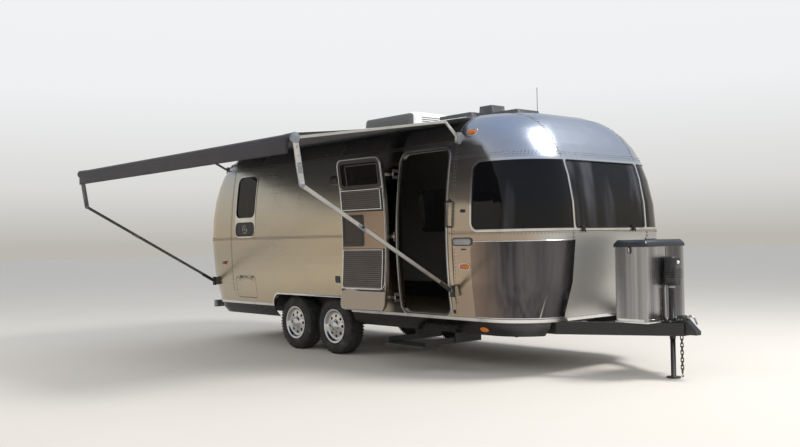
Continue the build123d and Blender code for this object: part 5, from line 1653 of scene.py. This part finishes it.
@dataclass
class RunningGear:
    """Wheels, wells, axles, stands, step and bumper. The tread's points are depth and distance across."""

    shop: Workshop
    radius: float = 0.349
    bead: float = 0.197
    track_half: float = 1.000
    nuts: int = 6
    lugs: int = 54
    tread: Profile = (
        (0.0045, 0.0), (0.0045, 0.005), (0.0, 0.006), (0.0, 0.030), (0.008, 0.031), (0.008, 0.037),
        (0.0, 0.038), (0.001, 0.062), (0.009, 0.063), (0.009, 0.069), (0.003, 0.070), (0.010, 0.083),
        (0.024, 0.098), (0.045, 0.1065), (0.065, 0.1105), (0.080, 0.1118), (0.084, 0.1128), (0.088, 0.1118),
        (0.118, 0.1085), (0.122, 0.1095), (0.126, 0.1075), (0.140, 0.098))
    cap: Profile = ((0.0, 0.1120), (0.020, 0.1110), (0.034, 0.1080), (0.044, 0.1040), (0.050, 0.0985),
                    (0.0555, 0.0975), (0.0565, 0.085))
    nut: Profile = ((0.0, 0.0200), (0.006, 0.0185), (0.0100, 0.0140), (0.0105, 0.0), (0.0145, -0.002))
    drum: Profile = ((0.060, -0.055), (0.140, -0.055), (0.148, -0.045), (0.148, 0.030), (0.140, 0.036),
                     (0.060, 0.036))
    tread_top: float = -0.165
    stand_roots: tuple[tuple[str, float, int], ...] = (("front", -1.700, -1), ("rear", -7.000, 1))
    stand_reach: float = 0.395
    stand_half: float = 0.609
    stand_level: float = 0.385

    def tyre(self, name: str, at: Matrix) -> None:
        """Tyre with grooves, shoulder lugs and ribbed sides, in place of a node."""
        bead = self.bead
        right = [(self.radius - depth, across) for depth, across in self.tread]
        right += [(bead + 0.004, 0.088), (bead, 0.082), (bead, 0.0)]
        profile = [(radius, -across) for radius, across in reversed(right)] + right[1:]
        piece = Piece(f"{name}_dressed", [Coat.RUBBER])
        piece.add(turned(profile, 72), at=at)
        lug = block((-0.012, 0.012), (-0.010, 0.012), (-0.006, 0.004), 0.002, 1)
        upright = Matrix.Rotation(QUARTER, 4, "Z")
        places = []
        for index in range(self.lugs):
            turn = Matrix.Rotation(2 * math.pi * index / self.lugs, 4, "Z")
            for side in (-1, 1):
                shoulder = placed((self.radius - 0.0085, 0.0, side * 0.0885), QUARTER, "Y")
                places.append(at @ turn @ shoulder @ upright @ Matrix.Rotation(side * 0.42, 4, "X"))
        piece.stamp(lug, places)
        made = self.shop.finish(piece, f"wheel_{name.removeprefix('tyre_')}", "tyre", 34.0)
        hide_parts(name)

    def rim(self, name: str, at: Matrix) -> None:
        """Wheel nuts, centre cap, valve and brake drum of a rim."""
        self.shop.shaded(name, Coat.CHROME, angle=32.0)
        piece = Piece(f"{name}_fittings", [Coat.CHROME, Coat.BLACK, Coat.ZINC])
        piece.add(turned(self.cap, 36), at=at)
        places = [at @ Matrix.Rotation(2 * math.pi * (index + 0.5) / self.nuts, 4, "Z")
                  @ Matrix.Translation((0.0785, 0.0, 0.0790)) for index in range(self.nuts)]
        piece.stamp(turned(self.nut, 6), places)
        valve = rod([(0.158, 0.0, 0.070), (0.160, 0.0, 0.088), (0.156, 0.0, 0.104)], 0.0045, 8)
        piece.add(valve, Coat.BLACK, at @ Matrix.Rotation(0.35, 4, "Z"))
        piece.add(turned(self.drum, 40), Coat.ZINC, at @ Matrix.Translation((0, 0, -0.020)))
        self.shop.finish(piece, f"wheel_{name.removeprefix('rim_')}", "wheel_paint", 34.0)

    def step(self) -> None:
        """Ribbed tread and nosing of the step."""
        low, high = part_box("entry_step")
        top = self.tread_top
        piece = Piece("step_tread", [Coat.CHASSIS])
        for index in range(7):
            y = low.y + 0.030 + index * 0.032
            rib = block((low.x + 0.03, high.x - 0.03), (y, y + 0.012), (top - 0.004, top + 0.003), 0.0015, 1)
            piece.add(rib)
        piece.add(block((low.x, high.x), (low.y - 0.004, low.y + 0.004), (top - 0.028, top + 0.002), 0.002))
        self.shop.finish(piece, "step", "chassis_paint")

    def stands(self) -> None:
        """Foot plates of the folded corner stands."""
        z = up(self.stand_level)
        for row, root, along in self.stand_roots:
            x = root + along * self.stand_reach
            for hand, side in HANDS:
                y = side * self.stand_half
                piece = Piece(f"stand_{row}_{hand}_pad", [Coat.ZINC])
                piece.add(block((x - 0.035, x + 0.035), (y - 0.045, y + 0.045), (z - 0.0275, z - 0.0225),
                                0.001, 1))
                self.shop.finish(piece, f"stand_{row}_{hand}", "chassis_paint")

    def build(self) -> None:
        """Builds the running gear."""
        for row, x in WHEEL_XS.items():
            for hand, side in HANDS:
                at = placed((x, side * self.track_half, up(self.radius)), -side * QUARTER, "X")
                self.tyre(f"tyre_{row}_{hand}", at)
                self.rim(f"rim_{row}_{hand}", at)
        stands = [f"stand_{row}_{hand}" for row, _, _ in self.stand_roots for hand, _ in HANDS]
        self.shop.dress(Coat.WELL, "wheel_wells")
        self.shop.dress(Coat.CHASSIS, "axles", "chassis_frame", "step_housing", "entry_step", *stands)
        self.shop.shaded("bumper", Coat.ZINC)
        self.step()
        self.stands()


@dataclass
class Tongue:
    """A-frame, gas cover with its lid, jack, coupler and chain."""

    shop: Workshop
    cover_x: Range = (-0.655, -0.282)
    cover_half: float = 0.340
    fold_levels: Range = (0.566, 0.590)
    lid_level: float = 1.3035
    jack_x: float = -0.224
    jack_ribs: tuple[float, ...] = (0.985, 1.010, 1.035, 1.060)
    chain: tuple[float, float] = (-0.112, -0.020)
    chain_ends: Range = (-0.024, up(0.016))
    link_half: float = 0.0235
    link_wide: float = 0.0125
    wire: float = 0.0055
    bolt_xs: tuple[float, ...] = (-0.125, -0.092)
    lamp: Profile = ((0.0, 0.014), (0.012, 0.013), (0.017, 0.009), (0.018, 0.0))
    screw: Profile = ((0.0, 0.012), (0.004, 0.011), (0.0055, 0.0))
    foot_bolt: Profile = ((0.0, 0.010), (0.008, 0.009), (0.0085, 0.0), (0.013, -0.001))
    side_bolt: Profile = ((0.0, 0.008), (0.008, 0.007), (0.009, 0.0), (0.013, -0.001))
    collar: Profile = ((0.033, 0.0), (0.040, 0.004), (0.040, 0.030), (0.033, 0.034))
    tube_collar: Profile = ((0.031, 0.0), (0.036, 0.003), (0.036, 0.022), (0.031, 0.026))

    def cover(self) -> None:
        """Streaked cover with folded seams, catches and a dark lid."""
        self.shop.shaded("gas_cover", Coat.COVER)
        self.shop.shaded("cover_lid", Coat.LIDBLACK)
        self.shop.dress(Coat.PORCELAIN, "gas_bottles")
        piece = Piece("cover_fittings", [Coat.TRIM, Coat.BLACK, Coat.SEAM])
        rear, front = self.cover_x
        fold = tuple(up(level) for level in self.fold_levels)
        for side in (-1, 1):
            y = side * self.cover_half
            piece.add(block((rear + 0.03, front - 0.03), (y - 0.001, y + side * 0.003), fold, 0.001, 1))
            plate = block((-0.486, -0.450), (y, y + side * 0.010), (up(1.235), up(1.300)), 0.003)
            piece.add(plate, Coat.BLACK)
            catch = [(-0.468, y + side * 0.010, up(1.245)), (-0.468, y + side * 0.016, up(1.290))]
            piece.add(rod(catch, 0.005, 8))
        for x, out in ((rear, -1), (front, 1)):
            piece.add(block((x - 0.001, x + out * 0.003), (-0.310, 0.310), fold, 0.001, 1))
        piece.add(block((front, front + 0.0015), (-0.003, 0.003), (up(0.600), up(1.290)), 0.0), Coat.SEAM)
        self.shop.finish(piece, "body", "trim")
        rim = Piece("lid_rim", [Coat.LIDBLACK])
        grow = 0.0135
        half = self.cover_half + grow
        points = divided(rounded((rear - grow, front + grow), (-half, half), 0.0355), 0.2)
        middle = sum(self.cover_x) / 2
        places = [(Vector((x, y, up(self.lid_level))), Vector((x - middle, y, 0)).normalized())
                  for x, y in points]
        rim.add(strip(places, 0.010, 0.002, 0.001, True))
        self.shop.finish(rim, "body", "black_plastic")

    def jack(self) -> None:
        """Motor head's lamp, ribs and switch plate, the post's collars and the bolts of its foot plate."""
        self.shop.shaded("jack_post", Coat.BLACK)
        self.shop.shaded("jack_leg", Coat.CHASSIS)
        piece = Piece("jack_fittings", [Coat.BLACK, Coat.WHITE, Coat.ZINC, Coat.DARKGREY])
        rear, front = self.jack_x - 0.044, self.jack_x + 0.076
        piece.add(turned(self.lamp, 20), Coat.WHITE, placed((front, 0.0, up(1.140)), QUARTER, "Y"))
        for level in self.jack_ribs:
            piece.add(block((rear, front + 0.002), (-0.077, 0.077), (up(level), up(level) + 0.008), 0.003))
        plate = block((front - 0.002, front + 0.004), (-0.045, 0.045), (up(1.078), up(1.118)), 0.003)
        piece.add(plate, Coat.DARKGREY)
        for y in (-0.022, 0.022):
            piece.add(turned(self.screw, 10), Coat.ZINC, placed((front + 0.003, y, up(1.098)), QUARTER, "Y"))
        for profile, level, coat in ((self.collar, 0.562, Coat.BLACK), (self.tube_collar, 0.886, Coat.ZINC)):
            piece.add(turned(profile, 28), coat, placed((self.jack_x, 0.0, up(level))))
        places = [placed((self.jack_x + along * 0.040, side * 0.100, up(0.5625)))
                  for along in (-1, 1) for side in (-1, 1)]
        piece.stamp(turned(self.foot_bolt, 6), places, Coat.ZINC)
        self.shop.finish(piece, "body", "black_plastic")

    def links(self) -> None:
        """Hanging chain of welded links and the hook at its end."""
        x, y = self.chain
        top, low = self.chain_ends
        half, wide = self.link_half, self.link_wide
        path = rounded((-wide, wide), (-half, half), wide * 0.98, 4)
        ring = frames([Vector((across, 0.0, along)) for across, along in path], Y_AXIS, True)
        link = swept(ring_section(self.wire, 6), ring, True)
        pitch = 2 * (half - self.wire)
        count = int((top - low) / pitch) - 1
        piece = Piece("tongue_chain_links", [Coat.LINKS])
        piece.stamp(link, [placed((x, y, top - half - index * pitch), QUARTER * (index % 2) + 0.2)
                           for index in range(count)])
        start = top - half - (count - 0.4) * pitch
        hook = [(0.0, start), (0.002, start - 0.012), (0.010, low + 0.016), (0.004, low + 0.006),
                (-0.007, low + 0.008), (-0.011, low + 0.020)]
        piece.add(rod(eased([(x + along, y, z) for along, z in hook], 0.01, 3), 0.0046, 8))
        made = self.shop.finish(piece, "body", "coupler_steel")
        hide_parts("safety_chain")

    def hitch(self) -> None:
        """Latch lever, its block and the side bolts of the coupler."""
        self.shop.shaded("coupler", Coat.BLACK)
        piece = Piece("coupler_fittings", [Coat.ZINC])
        lever = [(-0.050, 0, 0.150), (-0.020, 0, 0.176), (0.020, 0, 0.150), (0.046, 0, 0.090)]
        piece.add(rod(eased(lever, 0.02), 0.009, 10))
        piece.add(block((-0.070, -0.030), (-0.018, 0.018), (0.140, 0.166), 0.004))
        for side in (-1, 1):
            for x in self.bolt_xs:
                at = placed((x, side * 0.042, 0.132), -side * QUARTER, "X")
                piece.add(turned(self.side_bolt, 6), at=at)
        self.shop.finish(piece, "body", "coupler_steel")

    def build(self) -> None:
        """Builds the tongue."""
        self.cover()
        self.jack()
        self.links()
        self.hitch()


@dataclass
class Rooftop:
    """Cooler shroud with its grilles, vents, dish box and antenna.

    A row of lids: X, Y, length, width, height above the roof, finish.
    """

    shop: Workshop
    cooler_x: float = -4.120
    roof: float = 2.3437
    bays: tuple[float, ...] = (-0.36, -0.12, 0.12)
    bay: float = 0.20
    lids: tuple[tuple[float, float, float, float, float, Coat], ...] = (
        (-2.110, -0.120, 0.37, 0.37, 0.055, Coat.DARKGREY),
        (-2.860, -0.140, 0.52, 0.42, 0.095, Coat.DARKGREY),
        (-6.300, 0.000, 0.38, 0.38, 0.085, Coat.WHITE),
    )
    layers: tuple[Row, ...] = ((0.0, -0.004), (0.05, 0.003), (0.10, 0.007))

    def grilles(self) -> None:
        """Bars of the cooler's grilles, in three bays on each side and one at each end."""
        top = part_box("cooler")[1].z
        tree = self.shop.surface(["cooler"])
        runs: list[list[Ray]] = []
        for side in (-1, 1):
            for row in range(4):
                for start in self.bays:
                    xs = (self.cooler_x + start + self.bay * index / 6 for index in range(7))
                    runs.append([side_ray(x, top - 0.075 - row * 0.030, side, 0.8) for x in xs])
        for end in (-1, 1):
            for row in range(5):
                z = top - 0.070 - row * 0.026
                ys = (-self.bay + 2 * self.bay * index / 8 for index in range(9))
                runs.append([((self.cooler_x + end * 0.9, y, z), (-end, 0, 0)) for y in ys])
        piece = Piece("cooler_grilles", [Coat.GREY])
        for rays in runs:
            places = self.shop.seats(rays, tree)
            if len(places) > 3:
                piece.add(strip(places, 0.012, 0.003))
        self.shop.finish(piece, "body", "white_plastic")

    def build(self) -> None:
        """Builds the rooftop."""
        shop = self.shop
        # The cooler's side faces take the grey moulding: partly the colour of its louvred sides, partly
        # painted shade.
        shop.shaded("cooler", Coat.WHITE, Coat.GREY, inner=lambda middle, normal: abs(normal.y) > 0.7)
        shop.shaded("roof_vents", Coat.DARKGREY, Coat.WHITE, inner=lambda middle, normal: middle.x < -5.0)
        shop.shaded("antenna", Coat.BLACK)
        self.grilles()
        piece = Piece("vent_lids", [Coat.DARKGREY, Coat.WHITE])
        for x, y, length, width, height, coat in self.lids:
            for inset, rise in self.layers:
                lid = sheet_metal(length - inset, width - inset, 0.03, 0.006, 0.0, 0.003)
                piece.add(lid, coat, placed((x, y, self.roof + height + rise - 0.004)))
        shop.finish(piece, "body", "white_plastic")


@dataclass
class Fittings:
    """Lamps, handle, outlets, a bare plate and other small pieces on the walls.

    A row of markers: X, level, length, height, corner.
    """

    shop: Workshop
    markers: tuple[Row, ...] = (
        (-1.893, 1.120, 0.136, 0.052, 0.025), (-1.885, 2.535, 0.140, 0.056, 0.027),
        (-6.800, 1.130, 0.136, 0.052, 0.025), (-6.815, 2.535, 0.140, 0.056, 0.027),
    )
    skirt_lamp: Row = (-1.722, 0.467, 0.120, 0.064)
    plate: Row = (-1.915, 1.380, 0.262, 0.066)
    lamp: tuple[float, float] = (-4.100, 2.160)
    lens: Profile = ((0.0, 0.010), (0.022, 0.009), (0.028, 0.004), (0.030, -0.002))
    handle_base: Profile = ((0.0, 0.006), (0.018, 0.005), (0.020, 0.0), (0.020, -0.006))
    handle_bases: tuple[Row, ...] = ((-1.2105, 1.080), (-1.2030, 1.370))
    outlet: tuple[float, float] = (-6.225, 1.600)
    outlet_hub: Profile = ((0.0, 0.005), (0.012, 0.004), (0.016, 0.0))

    def bezel(self, piece: Piece, coat: Coat, x: float, level: float, length: float, height: float,
              corner: float, side: int = -1, width: float = 0.006, proud: float = 0.004) -> None:
        """Raised ring round an outline on a side of the body.

        Args:
            piece: the piece that takes it.
            coat: its finish.
            x: middle of the outline along the body.
            level: middle of the outline above the ground.
            length: the outline's length.
            height: the outline's height.
            corner: radius of its corners.
            side: side of the body, -1 for the door side.
            width: the ring's width.
            proud: how far it stands out.
        """
        grow = width / 2 + 0.001
        points = rounded((x - length / 2 - grow, x + length / 2 + grow),
                         (up(level) - height / 2 - grow, up(level) + height / 2 + grow), corner + grow, 5)
        places = self.shop.seats([side_ray(*point, side) for point in divided(points, 0.02)])
        if len(places) > 8:
            piece.add(strip(places, width, proud, closed=True), coat)

    def dome(self, piece: Piece, x: float, level: float, length: float, height: float, side: int,
             tree: BVHTree | None = None) -> None:
        """Oval lens that bulges from a side of the body.

        Args:
            piece: the piece that takes it.
            x: its middle along the body.
            level: its middle above the ground.
            length: its length.
            height: its height.
            side: side of the body.
            tree: surface that it sits on, or None for the skin.
        """
        place = self.shop.seat(*side_ray(x, up(level), side), tree)
        if place is not None:
            lens = bmesh.new()
            bmesh.ops.create_uvsphere(lens, u_segments=28, v_segments=12, radius=0.5)
            bmesh.ops.scale(lens, vec=(length, height, 0.042), verts=lens.verts[:])
            piece.add(lens, at=toward(*place))

    def lenses(self, rings: Piece) -> None:
        """Amber and red marker lamps on both sides, each in a bright ring."""
        amber, red = Piece("amber_lenses", [Coat.AMBER]), Piece("red_lenses", [Coat.RED])
        skirt = self.shop.surface(["skirt"])
        for side in (-1, 1):
            for x, level, length, height, corner in self.markers:
                self.bezel(rings, Coat.TRIM, x, level, length, height, corner, side, 0.008, 0.007)
                self.dome(amber if x > -4.0 else red, x, level, length, height, side)
            self.dome(amber, *self.skirt_lamp, side, skirt)
        self.shop.finish(amber, "body", "amber_lens", 60.0)
        self.shop.finish(red, "body", "red_lens", 60.0)

    def outlets(self, rings: Piece) -> None:
        """Bare plate, rings of the outlets, porch lamp and the bases of the handle."""
        shop = self.shop
        x, level, length, height = self.plate
        plate = sheet_metal(length, height, 0.0325, 0.012, 0.0, 0.003)
        rings.add(plate, Coat.ZINC, toward(*shop.seat(*side_ray(x, up(level), -1))))
        self.bezel(rings, Coat.DARKGREY, *self.plate, 0.032, -1, 0.010, 0.016)
        self.bezel(rings, Coat.DARKGREY, -4.104, 0.940, 0.084, 0.072, 0.010)
        self.bezel(rings, Coat.TRIM, -2.100, 0.640, 0.046, 0.046, 0.020)
        self.bezel(rings, Coat.BLACK, -6.260, 0.7875, 0.506, 0.281, 0.036, -1, 0.005, 0.002)
        lamp = shop.seat(*side_ray(self.lamp[0], up(self.lamp[1]), -1), shop.surface(["porch_lamp"]))
        if lamp is not None:
            spot, out = lamp
            housing = sheet_metal(0.250, 0.105, 0.030, 0.044, 0.0, 0.008)
            rings.add(housing, Coat.BLACK, toward(spot - 0.008 * out, out))
            rings.add(turned(self.lens, 24), Coat.DARKGREY, toward(spot + 0.036 * out, out))
        for y, z in self.handle_bases:
            rings.add(turned(self.handle_base, 20), Coat.BLACK, placed((-2.105, y, z), QUARTER, "X"))

    def panel(self) -> None:
        """Louvres on the dark panel below the rear window, in a plain round."""
        place = self.shop.seat(*side_ray(self.outlet[0], up(self.outlet[1]), -1),
                               self.shop.surface(["wall_fittings"]))
        if place is None:
            return
        at = toward(*place)
        piece = Piece("side_panel_face", [Coat.DARKGREY, Coat.ZINC])
        for radius in (0.058, 0.040):
            ring = ((radius, 0.0), (radius + 0.002, 0.004), (radius + 0.006, 0.004), (radius + 0.008, 0.0))
            piece.add(turned(ring, 36), Coat.ZINC, at)
        piece.add(turned(self.outlet_hub, 24), Coat.ZINC, at)
        for side in (-1, 1):
            for y in (-0.022, 0.0, 0.022):
                slat = block((side * 0.085, side * 0.165), (y - 0.005, y + 0.005), (-0.002, 0.004), 0.002, 1)
                piece.add(slat, Coat.DARKGREY, at)
        self.shop.finish(piece, "body", "black_plastic")

    def build(self) -> None:
        """Builds the fittings."""
        shop = self.shop
        x, level = self.plate[:2]
        shop.shaded("marker_lamps", Coat.AMBER)
        shop.shaded("tail_lamps", Coat.RED)
        shop.shaded("porch_lamp", Coat.BLACK)
        shop.shaded("wall_fittings", Coat.BLACK, Coat.ZINC, inner=lambda middle, normal:
                    abs(middle.x - x - 0.012) < 0.08 and abs(middle.z - up(level)) < 0.033)
        shop.shaded("grab_handle", Coat.BLACK)
        shop.shaded("hatch_lid", Coat.SKIN)
        shop.dress(Coat.ZINC, "hatch_hinge")
        rings = Piece("lamp_bezels", [Coat.TRIM, Coat.BLACK, Coat.DARKGREY, Coat.ZINC])
        self.lenses(rings)
        self.outlets(rings)
        shop.finish(rings, "body", "trim")
        self.panel()


@dataclass
class Cabin:
    """Floor, galley, lockers, seats and their cushions, each a name, ends along X and Y, and levels."""

    shop: Workshop
    face: float = 0.520
    locker_face: float = 0.760
    galley: Range = (-3.850, -2.350)
    bays: int = 4
    doors: tuple[Range, ...] = ((0.660, 1.260), (1.275, 1.500))
    counter: float = 1.572
    basin: tuple[float, float] = (-2.75, 0.80)
    tap: tuple[Row, ...] = ((1.00, 1.572), (1.00, 1.78), (0.84, 1.78), (0.84, 1.72))
    cushions: tuple[tuple[str, Range, Range, Range], ...] = (
        ("lounge_cushion_front", (-1.16, -1.53), (-0.72, 0.72), (0.852, 0.958)),
        ("lounge_cushion_right", (-1.55, -1.985), (-1.12, -0.345), (0.852, 0.958)),
        ("lounge_cushion_left", (-1.55, -1.985), (0.345, 1.12), (0.852, 0.958)),
        ("bed_mattress_right", (-6.72, -7.26), (-1.02, -0.01), (0.972, 1.078)),
        ("bed_mattress_left", (-6.72, -7.26), (0.01, 1.02), (0.972, 1.078)),
    )
    crown: float = 0.012
    swell: float = 0.010

    def fronts(self) -> None:
        """Doors, drawers, pulls, counter, basin, tap and hob of the galley, and the locker doors."""
        piece = Piece("galley_fronts", [Coat.TIMBER, Coat.ARM, Coat.COUNTER, Coat.BLACK])
        rear, front = self.galley
        wide = (front - rear) / self.bays
        for x in (rear + index * wide for index in range(self.bays)):
            ends = (x + 0.006, x + wide - 0.006)
            for low, high in self.doors:
                piece.add(block(ends, (self.face - 0.016, self.face - 0.001), (up(low), up(high)), 0.002))
                middle, level = x + wide / 2, up(high - 0.03)
                pull = [(middle + along, self.face - 0.030, level) for along in (-0.05, 0.05)]
                piece.add(rod(pull, 0.004, 8), Coat.ARM)
            locker = (self.locker_face - 0.016, self.locker_face - 0.001)
            piece.add(block(ends, locker, (up(2.210), up(2.470)), 0.002))
        top = up(self.counter)
        board = block((rear - 0.010, front + 0.010), (self.face - 0.020, 1.120), (top - 0.0215, top), 0.004)
        piece.add(board, Coat.COUNTER)
        piece.add(sheet_metal(0.40, 0.34, 0.05, 0.004, 0.012, 0.001), Coat.ARM, placed((*self.basin, top)))
        tap = [(self.basin[0], y, up(level)) for y, level in self.tap]
        piece.add(rod(eased(tap, 0.05), 0.010, 10), Coat.ARM)
        piece.add(block((-3.70, -3.20), (0.58, 1.02), (top, top + 0.010), 0.003), Coat.BLACK)
        self.shop.finish(piece, "body", "cabinet_wood")

    def cushion(self, name: str, x: Range, y: Range, levels: Range) -> bpy.types.Object:
        """Padded seat with a crowned top and swollen sides.

        Args:
            name: its name.
            x: its two ends along X.
            y: its two ends across.
            levels: its low and high levels.

        Returns:
            The object.
        """
        ends = [sorted(pair) for pair in (x, y, tuple(up(level) for level in levels))]
        size = [pair[1] - pair[0] for pair in ends]
        shape = bmesh.new()
        bmesh.ops.create_cube(shape, size=1.0, matrix=Matrix.Diagonal((*size, 1.0)))
        bmesh.ops.subdivide_edges(shape, edges=shape.edges[:], cuts=5, use_grid_fill=True)
        for vert in shape.verts:
            u, v, w = (2 * vert.co[axis] / size[axis] for axis in range(3))
            pull = self.swell * (1 - w * w)
            vert.co.z += self.crown * (1 - u ** 4) * (1 - v ** 4) * (w > 0) - self.crown
            vert.co.x += math.copysign(pull, u) * (abs(u) > 0.99) * (1 - v ** 4)
            vert.co.y += math.copysign(pull, v) * (abs(v) > 0.99) * (1 - u ** 4)
        bmesh.ops.translate(shape, verts=shape.verts[:], vec=[sum(pair) / 2 for pair in ends])
        made = self.shop.finish(Piece(name, [Coat.SEAT], shape), "body", "seat_fabric", 80.0, 2)
        return made

    def build(self) -> None:
        """Builds the cabin."""
        self.shop.dress(Coat.BOARD, "floor")
        self.shop.dress(Coat.TIMBER, "cabinets")
        self.fronts()
        first, *_ = [self.cushion(*row) for row in self.cushions]
        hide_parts("cushions")


def main() -> None:
    """Builds the scene in order."""
    logging.basicConfig(level=logging.INFO, format="%(name)s: %(message)s")
    for item in list(bpy.data.objects):
        bpy.data.objects.remove(item)
    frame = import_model()
    Studio().build()
    shop = Workshop(frame)
    for part in (Shell, Windows, EntryDoor, Awning, RunningGear, Tongue, Rooftop, Fittings, Cabin):
        part(shop).build()
    log.info("%d pieces", shop.count)


if __name__ == "__main__":
    main()
